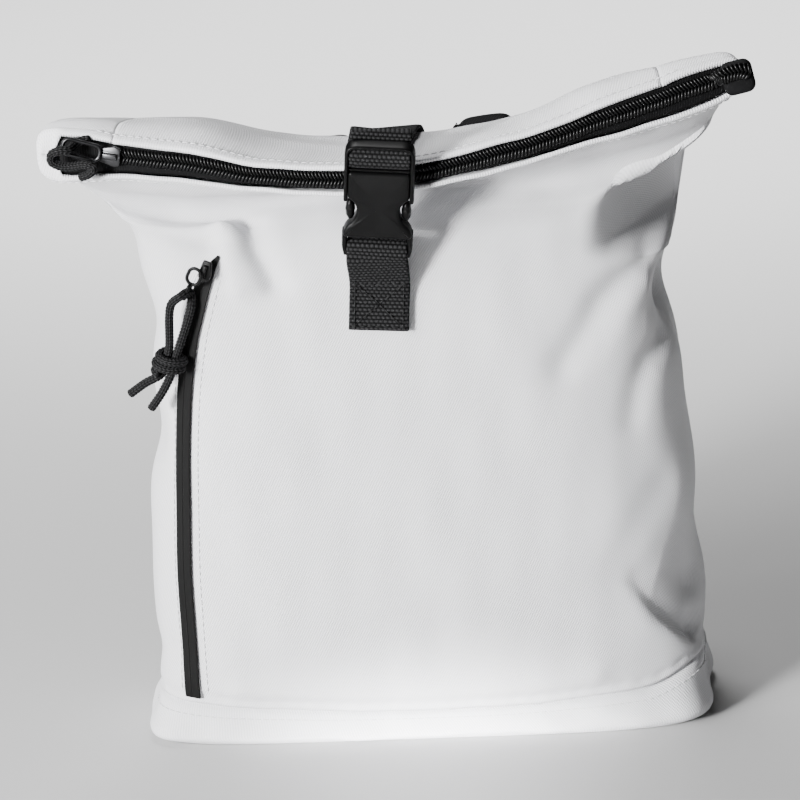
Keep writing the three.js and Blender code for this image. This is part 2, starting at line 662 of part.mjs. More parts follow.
// The buckle, drawn in its own plane: x to the right, y up along it, z out from the bag.
const BUCKLE = {
  foot: new THREE.Vector3(-9.2, -55.2, 222), // the middle of its lower edge
  leanForward: 15,
  askew: -6,
  halfWidth: 14.3,
  thick: 7.2,
  cavity: 3.4,
  prong: 2.7,
};
const buckleTurn = tipped(90 + BUCKLE.leanForward).multiply(turned(BUCKLE.askew));
function onBuckle(geometry) {
  geometry.applyMatrix4(buckleTurn);
  return geometry.translate(BUCKLE.foot.x, BUCKLE.foot.y, BUCKLE.foot.z);
}
function bucklePoint(x, y, z) {
  return new THREE.Vector3(x, y, z).applyMatrix4(buckleTurn).add(BUCKLE.foot);
}
const mirrored = (half) => [...half, ...half.map(([x, y]) => [-x, y]).reverse()];
function shapeOf(points) {
  return new THREE.Shape(points.map(([x, y]) => new THREE.Vector2(x, y)));
}
const half = BUCKLE.thick / 2;
const SLOT_HALF = WEBBING.width / 2 + 0.35; // half the width of both slots for webbing

// The socket: a flared foot with the tab's slot, a waist with open notches at the sides, and a face.
const SOCKET_HALF = [
  [10.5, 0], [13.2, 1], [14.3, 3.6], [14.3, 7.8], [13.6, 10.4], [12.1, 12.6], [11.9, 13.9],
  [9.6, 15.7], [8.5, 18.2], [8.6, 20.9], [9.8, 23.1], [12, 24.4], [12.2, 25.8], [12.2, 32.4], [11.2, 33.1],
];
const socket = plate(shapeOf(mirrored(SOCKET_HALF)), BUCKLE.thick);
const BAR = { high: 2.6, thick: 3.4 }; // the bar that the tab is looped round
add(
  "buckle_socket",
  onBuckle(
    cut(
      socket,
      boxBetween([-SLOT_HALF, BAR.high, -half - 1], [SLOT_HALF, 8.4, half + 1]),
      boxBetween([-SLOT_HALF, -1, BAR.thick / 2], [SLOT_HALF, BAR.high + 1, half + 1]),
      boxBetween([-SLOT_HALF, -1, -half - 1], [SLOT_HALF, BAR.high + 1, -BAR.thick / 2]),
      boxBetween([4.2, 13.2, -BUCKLE.cavity / 2], [16, 34, BUCKLE.cavity / 2]),
      boxBetween([-16, 13.2, -BUCKLE.cavity / 2], [-4.2, 34, BUCKLE.cavity / 2]),
    ),
  ),
  BLACK_PLASTIC,
);

// The plug: a frame with a bar that the strap is threaded round, side cheeks, and two springy prongs
// whose pads show in the notches.
const FRAME = {
  low: 33.6, high: 46.2, slotLow: 34.8, slotHigh: 44.2, barLow: 38.4, barHigh: 40.6, barThick: 3,
};
const frame = plate(
  roundedRectangle(new THREE.Shape(), [-BUCKLE.halfWidth, FRAME.low], [BUCKLE.halfWidth, FRAME.high], 3.8),
  BUCKLE.thick,
);
const frameSlot = boxBetween([-SLOT_HALF, FRAME.slotLow, -half - 1], [SLOT_HALF, FRAME.slotHigh, half + 1]);
const frameOpen = cut(frame, frameSlot);
const ladder = boxBetween([-13, FRAME.barLow, -FRAME.barThick / 2], [13, FRAME.barHigh, FRAME.barThick / 2]);
const PRONG_HALF = [
  [9, 34.4], [8.2, 24], [9.4, 18.7], [9.6, 15.9], [11.2, 14.2], [12.3, 14.8], [13.4, 19.1], [13, 22.8],
  [11.5, 25.4], [11.5, 34.4],
];
const prong = (side) => {
  const points = PRONG_HALF.map(([x, y]) => [side * x, y]);
  return plate(shapeOf(side > 0 ? points : points.reverse()), BUCKLE.prong);
};
const cheek = (side) => {
  const low = Math.min(side * 12.6, side * BUCKLE.halfWidth);
  return boxBetween([low, 24.2, -2.6], [low + BUCKLE.halfWidth - 12.6, 35, 2.6]);
};
add(
  "buckle_plug",
  onBuckle(join(frameOpen, ladder, prong(1), prong(-1), cheek(1), cheek(-1))),
  BLACK_PLASTIC,
);

// Webbing lies this far out from the cloth: the layer next to it, and the layer on top of that one.
const FIRST_LAYER = WEBBING.thick / 2 + GAP + 0.35;
const SECOND_LAYER = FIRST_LAYER + WEBBING.thick + GAP;
const ROLL_RIGHT = new THREE.Vector3(1, 0, 0.045);
const buckleRight = new THREE.Vector3(1, 0, 0).applyMatrix4(buckleTurn);
// On the roll the strap lies with the roll's slope, and towards the buckle it turns with the buckle.
function strapAcross(place) {
  return ROLL_RIGHT.clone().lerp(buckleRight, THREE.MathUtils.smoothstep(-place.y, 50, 60)).normalize();
}

// The tab: webbing looped round the socket's bar, with both ends sewn flat to the front.
const TAB = { lowAlong: 182, x: -11, clear: 0.6 };
const barOut = BAR.thick / 2 + TAB.clear + WEBBING.thick / 2;
const tabFront = (along, out) => frontPoint(TAB.x + (along - TAB.lowAlong) * 0.08, along, out);
const tabWay = [
  tabFront(TAB.lowAlong, SECOND_LAYER),
  tabFront(189, SECOND_LAYER),
  tabFront(196, SECOND_LAYER),
  tabFront(203, SECOND_LAYER + 2.2),
  bucklePoint(0, -3, barOut),
  bucklePoint(0, 0.5, barOut),
  bucklePoint(0, 3.3, barOut * 0.84),
  bucklePoint(0, BAR.high + TAB.clear + WEBBING.thick / 2 + 0.6, 0),
  bucklePoint(0, 3.3, -barOut * 0.84),
  bucklePoint(0, 0.5, -barOut),
  bucklePoint(0, -3, -barOut),
  tabFront(203, FIRST_LAYER + 1),
  tabFront(196, FIRST_LAYER),
  tabFront(189, FIRST_LAYER),
  tabFront(TAB.lowAlong, FIRST_LAYER),
];
add(
  "front_tab",
  sweep(stationsAlong(smoothSpans(tabWay, 2), () => buckleRight), FLAT, WEBBING.width, WEBBING.thick),
  BLACK_WEBBING,
);

// The strap: its free end lies on the roll under the strap itself, goes down behind the plug's frame, round
// the ladder bar from below, out behind the frame again, over the roll and down to its seam on the back.
const TOP_X = -3.6;
const roll = (along, out) => clothPoint(fromBack(TOP_X, along), along, -out - 0.6);
const behind = -half - GAP - 0.2 - WEBBING.thick / 2;
const barMiddle = (FRAME.barLow + FRAME.barHigh) / 2;
const ladderOut = FRAME.barThick / 2 + GAP + 0.15 + WEBBING.thick / 2;
const underRoll = behind - WEBBING.thick - GAP - 0.4;
const strapWay = [
  roll(266, FIRST_LAYER),
  roll(273, FIRST_LAYER),
  roll(280, FIRST_LAYER),
  roll(292, FIRST_LAYER),
  roll(302, FIRST_LAYER + 0.1),
  bucklePoint(0, FRAME.high + 0.3, underRoll - 0.6),
  bucklePoint(0, FRAME.high - 3.5, underRoll - 0.2),
  bucklePoint(0, FRAME.barLow + 0.6, underRoll + 1),
  bucklePoint(0, FRAME.slotLow + 1.9, -2.2),
  bucklePoint(0, FRAME.slotLow + 1.8, 0.6),
  bucklePoint(0, FRAME.barLow - 0.3, ladderOut * 0.92),
  bucklePoint(0, barMiddle, ladderOut + 0.1),
  bucklePoint(0, FRAME.barHigh + 0.5, ladderOut * 0.86),
  bucklePoint(0, FRAME.slotHigh - 2.3, 0.4),
  bucklePoint(0, FRAME.slotHigh - 2.2, -2.4),
  bucklePoint(0, FRAME.slotHigh - 1, behind - 0.3),
  bucklePoint(0, FRAME.high, behind - 0.5),
  bucklePoint(0, FRAME.high + 2.6, behind - 1.2),
  roll(302, SECOND_LAYER + 0.5),
  roll(292, SECOND_LAYER),
  roll(280, SECOND_LAYER),
  roll(268, SECOND_LAYER),
  roll(258, SECOND_LAYER - 0.6),
  roll(248, FIRST_LAYER + 0.2),
  roll(238, FIRST_LAYER),
  roll(226, FIRST_LAYER),
  roll(210, FIRST_LAYER),
  roll(192, FIRST_LAYER),
  roll(176, FIRST_LAYER),
];
add(
  "top_strap",
  sweep(stationsAlong(smoothSpans(strapWay, 2), strapAcross), FLAT, WEBBING.width, WEBBING.thick),
  BLACK_WEBBING,
);

// The harness on the back: two padded straps sewn in at the top, each with an adjuster and a webbing end
// sewn in at the lower corner. The ways are for the right strap, and x is turned over for the left one.
// They start and end on the cloth: a way round from the back middle, a height along the cloth, and out.
const PAD_SEAM = [{ x: 43, along: 184, thick: 3 }, { x: 43, along: 196, thick: STRAP_PAD.thick }];
const PAD_WAY = [
  [43.5, 54.5, 218], [44, 58, 231], [44.5, 62, 238], [45, 67, 240], [46, 72.5, 234.5],
  [50, 78, 212], [54, 82, 182], [60, 82, 146], [65, 77.5, 116], [68, 74, 100],
];
const WEB_WAY = [[72, 64, 66], [74.5, 56, 47]];
const WEB_SEAM = [{ x: 76, along: 32 }, { x: 77, along: 22 }]; // where the webbing is sewn in
const ADJUSTER = { width: 33, high: 13, thick: 4.4, slot: 4.2, bar: 1.6 };
const ARCH_FROM = 215; // above this height the pads' arches stand a little higher or lower
for (const [name, side, arch] of [["left", -1, -1], ["right", 1, 2.5]]) {
  const onBack = (x, along, out) => clothPoint(fromBack(side * x, along), along, -out);
  const raised = (z) => z + arch * THREE.MathUtils.smoothstep(z, ARCH_FROM, ARCH_FROM + 25);
  const free = ([x, y, z]) => new THREE.Vector3(side * x, y, raised(z));
  const across = () => X_AXIS;
  const seam = PAD_SEAM.map(({ x, along, thick }) => onBack(x, along, thick / 2 + 2 * GAP));
  const padLine = smoothLine([...seam, ...PAD_WAY.map(free)], 12);
  const padEnd = padLine.length - 1;
  const padSize = (i) => ({
    width: STRAP_PAD.width * (i > padEnd - 3 ? 0.8 : 1),
    thick: i === 0 || i === padEnd ? PAD_SEAM[0].thick : STRAP_PAD.thick,
  });
  add(
    `shoulder_strap_${name}`,
    sweep(stationsAlong(padLine, across, padSize), PADDED, STRAP_PAD.width, STRAP_PAD.thick),
    BLACK_WEBBING,
  );
  const end = padLine[padEnd];
  const way = end.clone().sub(padLine[padEnd - 1]).normalize();
  const wide = X_AXIS.clone().addScaledVector(way, -way.x);
  const adjusterSeat = seat(end.clone().addScaledVector(way, GAP), wide, way);
  const plateShape = new THREE.Shape();
  roundedRectangle(plateShape, [-ADJUSTER.width / 2, 0], [ADJUSTER.width / 2, ADJUSTER.high], 2.4);
  for (const low of [2, 2 + ADJUSTER.slot + ADJUSTER.bar]) {
    const high = Math.min(low + ADJUSTER.slot, ADJUSTER.high - ADJUSTER.bar);
    plateShape.holes.push(roundedRectangle(new THREE.Path(), [-13, low], [13, high], 0.6));
  }
  add(`strap_adjuster_${name}`, onSeat(adjusterSeat, plate(plateShape, ADJUSTER.thick, 1)), BLACK_PLASTIC);
  // The webbing lies against the back of the adjuster and runs down to its seam.
  const behindPlate = -(ADJUSTER.thick + WEBBING.thick) / 2 - GAP;
  const webLine = smoothLine(
    [
      lifted(adjusterSeat, behindPlate, 0, 2).place,
      lifted(adjusterSeat, behindPlate, 0, ADJUSTER.high).place,
      ...WEB_WAY.map(free),
      ...WEB_SEAM.map(({ x, along }) => onBack(x, along, FIRST_LAYER)),
    ],
    8,
  );
  const [, seamEnd] = WEB_SEAM;
  const edge = (sign) => onBack(seamEnd.x + (sign * WEBBING.width) / 2, seamEnd.along, 0);
  const seamAcross = edge(1).sub(edge(-1)).multiplyScalar(side).normalize();
  const webAcross = ({ z }) => seamAcross.clone().lerp(X_AXIS, THREE.MathUtils.smoothstep(z, 36, 70));
  add(
    `strap_webbing_${name}`,
    sweep(stationsAlong(webLine, webAcross), FLAT, WEBBING.width, WEBBING.thick),
    BLACK_WEBBING,
  );
}

export default part;
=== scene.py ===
"""A white mini roll-top backpack: its cloth, zips, webbing, buckle, cords and padded shoulder straps.

Sizes are in millimetres and become metres where a mesh is made. The front faces -Y and +Z is up.
"""

import math

import bmesh
import bpy
import numpy as np
from mathutils import Matrix, Vector


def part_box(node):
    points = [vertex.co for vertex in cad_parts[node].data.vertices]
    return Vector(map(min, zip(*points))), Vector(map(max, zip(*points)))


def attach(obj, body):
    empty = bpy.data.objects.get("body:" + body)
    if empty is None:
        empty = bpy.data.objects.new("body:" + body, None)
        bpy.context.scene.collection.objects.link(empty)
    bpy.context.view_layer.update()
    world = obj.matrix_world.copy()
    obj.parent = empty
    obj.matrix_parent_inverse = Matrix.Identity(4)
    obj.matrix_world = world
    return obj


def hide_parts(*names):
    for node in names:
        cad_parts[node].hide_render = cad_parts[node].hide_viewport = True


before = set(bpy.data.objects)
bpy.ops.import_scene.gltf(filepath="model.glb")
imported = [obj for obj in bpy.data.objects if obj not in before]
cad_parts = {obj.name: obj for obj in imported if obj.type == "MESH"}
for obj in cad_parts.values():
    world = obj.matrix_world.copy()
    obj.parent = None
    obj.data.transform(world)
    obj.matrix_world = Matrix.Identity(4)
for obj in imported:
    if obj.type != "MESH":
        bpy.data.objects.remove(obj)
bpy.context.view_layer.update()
MM = 0.001
BODY = "root"

# Driving sizes, as in the solids
CLOTH = 1.6
GAP = 0.3
SEAM_SHARE = 0.31
WEBBING = {"width": 24.8, "thick": 1.4}
ZIP_SINK = 1.6
CORD_DIAMETER = 3.2
PAD = {"width": 48.0, "thick": 9.0}

# The bag as sections from the base seam to the mouth
COLUMNS = (
    "along", "lean", "front_y", "front_z", "depth", "half_width", "square",
    "front_lift", "back_lift", "tilt", "end_back", "shift",
)
SECTIONS = np.array([
    (14, 0, -43.5, 14, 87, 118, 4.2, 6, 6, 0, 0, -1),
    (26, 0, -46, 26, 92, 118.5, 3.8, 3, 3, 0, 0, -0.5),
    (50, 0, -48, 50.5, 96, 119, 3.5, 0, 0, 0, 0, 0),
    (95, 0, -49, 97, 97, 117, 3.4, 0, 0, 0, 0, 0),
    (140, 0, -48.5, 143, 95, 113, 3.4, 0, 0, 0, 0, 0),
    (180, 0, -47, 184, 91, 111.5, 3.4, 0, 0, 0, 0, 0),
    (208, 2, -45, 211, 86, 113.5, 3.4, 0, 1, 0, 0, 0),
    (226, 9, -41, 224, 71, 117.5, 3.2, -3, 6, 1, 0, 0),
    (244, 27, -33, 232, 46, 123.5, 3, -7, 16, 3, 1, 0),
    (262, 53, -25, 238, 24, 132, 3, -6, 28.5, 5, 4, -1),
    (278, 74, -30, 243, 16, 139.5, 3.2, 1, 34.5, 7.2, 8, -2),
    (293, 84, -44, 244.5, 14.5, 143.5, 3.8, 11, 36, 8.5, 13, -3),
    (306, 88, -57, 244.8, 14, 145, 4.6, 20, 29, 8.5, 18, -3),
], float)
BASE_SECTIONS = np.array([
    (14, 0, -43.5, 13.4, 87, 118, 4.2, 6, 6, 0, 0, -1),
    (9, 0, -44.3, 8, 88.6, 119.8, 5.2, 2.5, 2.5, 0, 0, -1.6),
    (4, 0, -44.6, 3, 89.2, 122, 6.2, 0.5, 0.5, 0, 0, -2.4),
    (0, 0, -41, 0, 82, 118.5, 5.6, 0, 0, 0, 0, -2),
], float)
BASE_SEAM = SECTIONS[0, 0]
MOUTH = SECTIONS[-1, 0]
LIFT = {"from": 0.08, "power": 1.5}
# The right side is tucked in below the fold: right of its lip the cloth goes back steeply. The lip is given
# as (along, distance right of the middle).
GUSSET = {"steep": 1.9, "deepest": 0.84, "soft": 9.0, "low": (202, 213)}
GUSSET_LIP = np.array([
    (200, 77.5), (228, 77.5), (240, 81), (248, 88), (255, 102), (260, 117), (265, 136), (310, 320),
])
# The base seam is higher at the right end, and the cloth above it follows less and less
SEAM_RISE = {"much": 7.0, "from": 92, "to": 120, "ends": (BASE_SEAM + 6, 70)}
# How far the mouth's front hem is above its section, by the share of the way from the middle to the right
HEM_LINE = np.array([
    (-1, -6.5), (-0.9, -2), (-0.8, 2), (-0.65, 4.6), (-0.5, 4.4), (-0.3, 2.8), (0, 2.5), (0.2, 2),
    (0.45, 3.3), (0.7, 2.8), (0.9, 1.8), (1, 0),
], float)
HEM_RISE = (284, 302)
SLACK = {"much": 0.8, "from": 205, "to": 235}  # the front's right corner is less stretched than the others

# Folds of the cloth: a way over it as (round, along) points, its width on the left and the right of the
# way, and its depth at the way's start and end, below 0 for a valley. "round" counts from the front middle
# to the right.
FOLDS = [
    ("right gusset lip", [(76, 212), (77, 234), (86, 248), (104, 256), (118, 260)], 6, 6, 0.8, 0.1),
    ("right upper valley", [(103, 199), (92, 194), (82, 187), (75, 176), (65, 162)], 7, 7, -3.5, -2),
    ("right drag ridge", [(103, 192), (97, 184), (90, 172), (83, 160)], 6, 6, 1.5, 0.5),
    ("right flank", [(105, 188), (130, 186)], 14, 13, -1, -12),
    ("right lower valley", [(116, 166), (103, 158), (97, 148), (94, 136)], 6, 7, -3.5, -1.5),
    ("right middle valley", [(106, 104), (93, 88), (84, 72)], 9, 9, -1.6, -1),
    ("right side waist", [(128, 182), (175, 186)], 16, 16, -4, -4),
    ("right lower waist", [(125, 76), (170, 80)], 18, 18, -3, -3),
    ("right foot crease", [(94, 63), (101, 53), (110, 43), (122, 28)], 13, 3.5, -2.5, -7),
    ("right foot flank", [(103, 66), (128, 56)], 14, 14, -1, -8),
    ("right ear hollow", [(128, 256), (143, 284)], 13, 13, -3, -3),
    ("right ear crown", [(186, 264), (206, 286)], 18, 18, 3, 3),
    ("left gusset tuck", [(-112, 223), (-140, 222)], 11, 11, -0.5, -4),
    ("left pinch", [(-64, 244), (-61, 222), (-54, 203)], 7, 4, -4, -4),
    ("left pinch ridge", [(-74, 242), (-72, 222), (-68, 202)], 8, 5, 3, 3),
    ("left side waist", [(-118, 182), (-175, 186)], 14, 14, -3.5, -3.5),
    ("left lower waist", [(-122, 134), (-170, 128)], 15, 15, -4, -4),
    ("left foot crease", [(-116, 42), (-150, 30)], 9, 9, -1.5, -1.5),
    ("left ear crown", [(-188, 264), (-214, 286)], 20, 20, 4, 4),
    ("left neck roll", [(-78, 238), (-100, 240), (-120, 241)], 6, 8, 3, 1),
    ("left neck crease", [(-70, 251), (-90, 252), (-104, 253)], 6, 6, -2.5, -0.5),
    ("left chin crease", [(-82, 226), (-98, 227)], 6, 8, -2.5, -0.2),
    ("front foot roll", [(-78, 24), (0, 23), (72, 25)], 7, 6, 1.8, 1.8),
]
SEED = 11
UNEVEN = {"waves": (62, 47, 35, 26, 19), "share": 0.0042}  # lengths of swells, and their height as a share
# The base's low wall has larger swells, closer together up it, from above the foot to below the seam
BASE_UNEVEN = {"times": 2.4, "closer": 3, "starts": (0, 5), "ends": (9, BASE_SEAM)}
BACK_CALM = 0.07  # the cloth is even this share of the way round from the middle of the back
SEAM = {"deep": 0.8, "wide": 2.6, "gather": 0.3, "pitch": 7.5}  # how the back seams draw the cloth in
SEAM_FADES = {"share": 0.6, "from": 245, "to": 275}
FOOT_SEAM = {"deep": 0.7, "wide": 2.2, "above": 4.5, "gather": 0.35, "pitch": 9.0}

# The way of the pocket's zip down the left of the front
POCKET_ZIP_WAY = [
    (217.5, -75.5, 1.2), (210, -79.5, 4.6), (199, -84, 7), (180, -90, 7), (155, -95.5, 7), (125, -98.5, 7),
    (95, -100.5, 7), (65, -101.5, 7), (40, -101.5, 7), (18, -101, 7),
]
POCKET_ZIP_THICK = 0.9

X_AXIS = np.array([1.0, 0.0, 0.0])
Z_AXIS = np.array([0.0, 0.0, 1.0])
FORWARD = np.array([0.0, -1.0, 0.0])


# The cloth's surface

def unit(v):
    return v / np.linalg.norm(v, axis=-1, keepdims=True)


def smoothstep(value, low, high):
    t = np.clip((value - low) / (high - low), 0, 1)
    return t * t * (3 - 2 * t)


def soft_least(a, b, soft):
    """The smaller of two values, with a rounded change from one to the other."""
    return (a + b - np.hypot(a - b, soft)) / 2


def between(rows, ats):
    """Every column of a section table at these heights, by cubic Hermite spans."""
    along = rows[:, 0]
    way = 1 if along[-1] > along[0] else -1
    index = np.arange(len(rows))
    low = np.maximum(index - 1, 0)
    high = np.minimum(index + 1, len(rows) - 1)
    slope = (rows[high] - rows[low]) / (along[high] - along[low])[:, None]
    i = np.clip(np.searchsorted(way * along, way * ats) - 1, 0, len(rows) - 2)
    span = (along[i + 1] - along[i])[:, None]
    t = np.clip((ats - along[i])[:, None] / span, 0, 1)
    start = 2 * t**3 - 3 * t**2 + 1
    leave = t**3 - 2 * t**2 + t
    arrive = t**3 - t**2
    return start * rows[i] + (1 - start) * rows[i + 1] + span * (leave * slope[i] + arrive * slope[i + 1])


ANGLES = np.linspace(0, 2 * math.pi, 1441)


def outline(column):
    """One section's outline: x, the depth d and the run along it, from the back middle round by the left."""
    sine, cosine = np.sin(ANGLES), np.cos(ANGLES)
    slack = SLACK["much"] * (1 - smoothstep(column["along"], SLACK["from"], SLACK["to"]))
    power = 2 / (column["square"] - slack * ((sine < 0) & (cosine < 0)))
    x = -column["half_width"] * np.sign(sine) * np.abs(sine) ** power
    d = (1 + np.sign(cosine) * np.abs(cosine) ** power) / 2 * column["depth"]
    run = np.concatenate([[0], np.cumsum(np.hypot(np.diff(x), np.diff(d)))])
    return x, d, run


def girth(at):
    row = between(SECTIONS, np.array([float(at)]))[0]
    return outline(dict(zip(COLUMNS, row)))[2][-1]


def smooth(rows, us, ats):
    """Points of the smooth surface, one row for each height: u is the share of a turn, 0.5 in front."""
    points = np.empty((len(ats), len(us), 3))
    for k, row in enumerate(between(rows, ats)):
        c = dict(zip(COLUMNS, row))
        x, d, run = outline(c)
        turn, front = 2 * np.mod(us, 1), run[len(run) // 2]
        want = np.where(turn < 1, turn * front, front + (turn - 1) * (run[-1] - front))
        x, d = np.interp(want, run, x), np.interp(want, run, d)
        start = between(GUSSET_LIP, np.array([c["along"]]))[0, 1]
        tuck = soft_least(GUSSET["steep"] * (x - start), GUSSET["deepest"] * c["depth"], GUSSET["soft"]) - d
        tuck = (tuck + np.hypot(tuck, GUSSET["soft"])) / 2
        d = d + tuck * smoothstep(c["along"], *GUSSET["low"])
        lean = math.radians(c["lean"])
        side = x / c["half_width"]
        rise = np.maximum(0, (np.abs(side) - LIFT["from"]) / (1 - LIFT["from"])) ** LIFT["power"]
        lift = c["front_lift"] + (c["back_lift"] - c["front_lift"]) * d / c["depth"]
        points[k, :, 0] = x + c["shift"]
        points[k, :, 1] = c["front_y"] + d * math.cos(lean) + c["end_back"] * rise
        points[k, :, 2] = c["front_z"] + d * math.sin(lean) + lift * rise + c["tilt"] * side
        by_seam = smoothstep(c["along"], 0, BASE_SEAM) * (1 - smoothstep(c["along"], *SEAM_RISE["ends"]))
        points[k, :, 2] += SEAM_RISE["much"] * by_seam * smoothstep(x, SEAM_RISE["from"], SEAM_RISE["to"])
        if c["along"] > HEM_RISE[0]:
            near_hem = smoothstep(c["along"], *HEM_RISE) * (1 - d / c["depth"])
            points[k, :, 2] += between(HEM_LINE, np.clip(side, -1, 1))[:, 1] * near_hem
    return points


PROBE = {"u": 0.0015, "along": 0.6}


def normals(rows, us, ats):
    low, high = rows[:, 0].min(), rows[:, 0].max()
    around = smooth(rows, us + PROBE["u"], ats) - smooth(rows, us - PROBE["u"], ats)
    above = smooth(rows, us, np.minimum(ats + PROBE["along"], high))
    below = smooth(rows, us, np.maximum(ats - PROBE["along"], low))
    return unit(np.cross(around, above - below))


def rounds(us, ats):
    """The way round the cloth from the front middle, one row for each height."""
    return (np.mod(us, 1) - 0.5)[None, :] * np.array([girth(at) for at in ats])[:, None]


def fold_depth(around, along, way, left, right, start, end):
    """How far one fold moves the cloth: a bell across its way."""
    nearest = np.full(around.shape, np.inf)
    side = np.zeros(around.shape)
    passed = np.zeros(around.shape)
    run = 0.0
    for (r0, a0), (r1, a1) in zip(way, way[1:]):
        step = np.array([r1 - r0, a1 - a0], float)
        long = np.hypot(*step)
        dr, da = around - r0, along - a0
        t = np.clip((dr * step[0] + da * step[1]) / long**2, 0, 1)
        away = np.hypot(dr - t * step[0], da - t * step[1]) + 1e-6
        cross = (step[0] * (da - t * step[1]) - step[1] * (dr - t * step[0])) / (away * long)
        closer = away < nearest
        nearest = np.where(closer, away, nearest)
        side = np.where(closer, cross, side)
        passed = np.where(closer, run + t * long, passed)
        run += long
    width = right + (left - right) * (1 + side) / 2
    return (start + (end - start) * passed / run) * np.exp(-((nearest / width) ** 2))


def unevenness(around, along):
    """Slow swells and small puckers of cloth that isn't stretched, in millimetres."""
    random = np.random.default_rng(SEED)
    total = np.zeros(around.shape)
    for wave in UNEVEN["waves"]:
        angle, phase = random.uniform(0, math.pi), random.uniform(0, 2 * math.pi)
        across = around * math.cos(angle) + along * math.sin(angle)
        total += wave * UNEVEN["share"] * np.sin(2 * math.pi * across / wave + phase)
    return total


def off_back(us):
    """0 at the middle of the back, where the way round starts and ends, and 1 away from it."""
    return smoothstep(0.5 - np.abs(np.mod(us, 1) - 0.5), 0, BACK_CALM)


def seam_pucker(around, along):
    """The cloth drawn in along the two back seams and the base seam, with gathers between the stitches."""
    whole = np.array([girth(at) for at in along[:, 0]])[:, None]
    from_side = np.abs(np.abs(around) - SEAM_SHARE * whole)
    gathers = 1 + SEAM["gather"] * np.sin(2 * math.pi * along / SEAM["pitch"])
    fade = 1 - SEAM_FADES["share"] * smoothstep(along, SEAM_FADES["from"], SEAM_FADES["to"])
    side = -SEAM["deep"] * gathers * np.exp(-((from_side / SEAM["wide"]) ** 2)) * fade
    ripple = 1 + FOOT_SEAM["gather"] * np.sin(2 * math.pi * around / FOOT_SEAM["pitch"])
    above = along - BASE_SEAM - FOOT_SEAM["above"]
    foot = -FOOT_SEAM["deep"] * ripple * np.exp(-((above / FOOT_SEAM["wide"]) ** 2))
    return side + foot


def cloth(us, ats, inside=0.0):
    """Points of the cloth's outer face, or of a layer this far inside it (below 0: outside)."""
    us, ats = np.atleast_1d(us).astype(float), np.atleast_1d(ats).astype(float)
    around = rounds(us, ats)
    along = np.broadcast_to(ats[:, None], around.shape)
    moved = unevenness(around, along) * off_back(us) + seam_pucker(around, along)
    for _, *fold in FOLDS:
        moved = moved + fold_depth(around, along, *fold)
    return smooth(SECTIONS, us, ats) + normals(SECTIONS, us, ats) * (moved - inside)[..., None]


def base(us, ats, inside=0.0):
    """Points of the base panel's outer face, or of a layer inside it, uneven between seam and foot."""
    around = rounds(us, ats)
    along = np.broadcast_to(ats[:, None], around.shape)
    free = smoothstep(along, *BASE_UNEVEN["starts"]) * (1 - smoothstep(along, *BASE_UNEVEN["ends"]))
    moved = BASE_UNEVEN["times"] * unevenness(around, along * BASE_UNEVEN["closer"]) * free * off_back(us)
    return smooth(BASE_SECTIONS, us, ats) + normals(BASE_SECTIONS, us, ats) * (moved - inside)[..., None]


def on_front(around, along, out):
    """A point this far out from the cloth, given by its way round from the front middle."""
    return cloth(0.5 + around / girth(along), along, -out)[0, 0]


def on_back(x, along, out):
    """A point this far out from the back, given by its distance from the back's middle."""
    return cloth(-x / girth(along), along, -out)[0, 0]


def out_at(around, along):
    u = np.array([0.5 + around / girth(along)])
    return normals(SECTIONS, u, np.array([float(along)]))[0, 0]


# Curves and stations

def curve_through(points, step):
    """Points about one step apart along a centripetal Catmull-Rom curve through a few."""
    p = np.asarray(points, float)
    p = np.vstack([2 * p[0] - p[1], p, 2 * p[-1] - p[-2]])
    t = np.linspace(0, 1, 40, endpoint=False)[:, None]
    fine = []
    for a, b, c, d in zip(p, p[1:], p[2:], p[3:]):
        k0, k1, k2 = (max(np.linalg.norm(v), 1e-4) ** 0.5 for v in (b - a, c - b, d - c))
        leave = ((b - a) / k0 - (c - a) / (k0 + k1) + (c - b) / k1) * k1
        arrive = ((c - b) / k1 - (d - b) / (k1 + k2) + (d - c) / k2) * k1
        fine.append(
            (2 * t**3 - 3 * t**2 + 1) * b + (t**3 - 2 * t**2 + t) * leave
            + (3 * t**2 - 2 * t**3) * c + (t**3 - t**2) * arrive
        )
    return even(np.vstack([*fine, p[-2][None]]), step)


def run_along(line):
    """How far along a polyline each of its points is."""
    return np.concatenate([[0], np.cumsum(np.linalg.norm(np.diff(line, axis=0), axis=1))])


def even(line, step):
    """A polyline again, with points about one step apart."""
    run = run_along(line)
    want = np.linspace(0, run[-1], max(2, math.ceil(run[-1] / step)) + 1)
    return np.column_stack([np.interp(want, run, line[:, i]) for i in range(3)])


def length_of(line):
    return float(np.linalg.norm(np.diff(line, axis=0), axis=1).sum())


def tangents(line):
    return unit(np.gradient(line, axis=0))


def stations(line, across_at):
    """The directions across and out at each point of a line, with the width kept near across_at."""
    way = tangents(line)
    wide = np.array([across_at(p) for p in line])
    wide = unit(wide - way * np.sum(wide * way, axis=1, keepdims=True))
    return wide, unit(np.cross(way, wide))


def frames(line):
    """Two directions square to a line at each point, turned as little as can be along it."""
    way = tangents(line)
    side = np.cross(way[0], Z_AXIS if abs(way[0][2]) < 0.9 else X_AXIS)
    sides = []
    for t in way:
        side = side - t * (side @ t)
        side = side / np.linalg.norm(side)
        sides.append(side)
    sides = np.array(sides)
    return sides, np.cross(way, sides)


def seat(place, right, up):
    """Where something stands on a surface: a place with the ways right, up and out there."""
    x = unit(right)
    out = unit(np.cross(x, up))
    return {"place": place, "right": x, "up": np.cross(out, x), "out": out}


def lifted(spot, out, right=0.0, up=0.0):
    place = spot["place"] + spot["out"] * out + spot["right"] * right + spot["up"] * up
    return {**spot, "place": place}


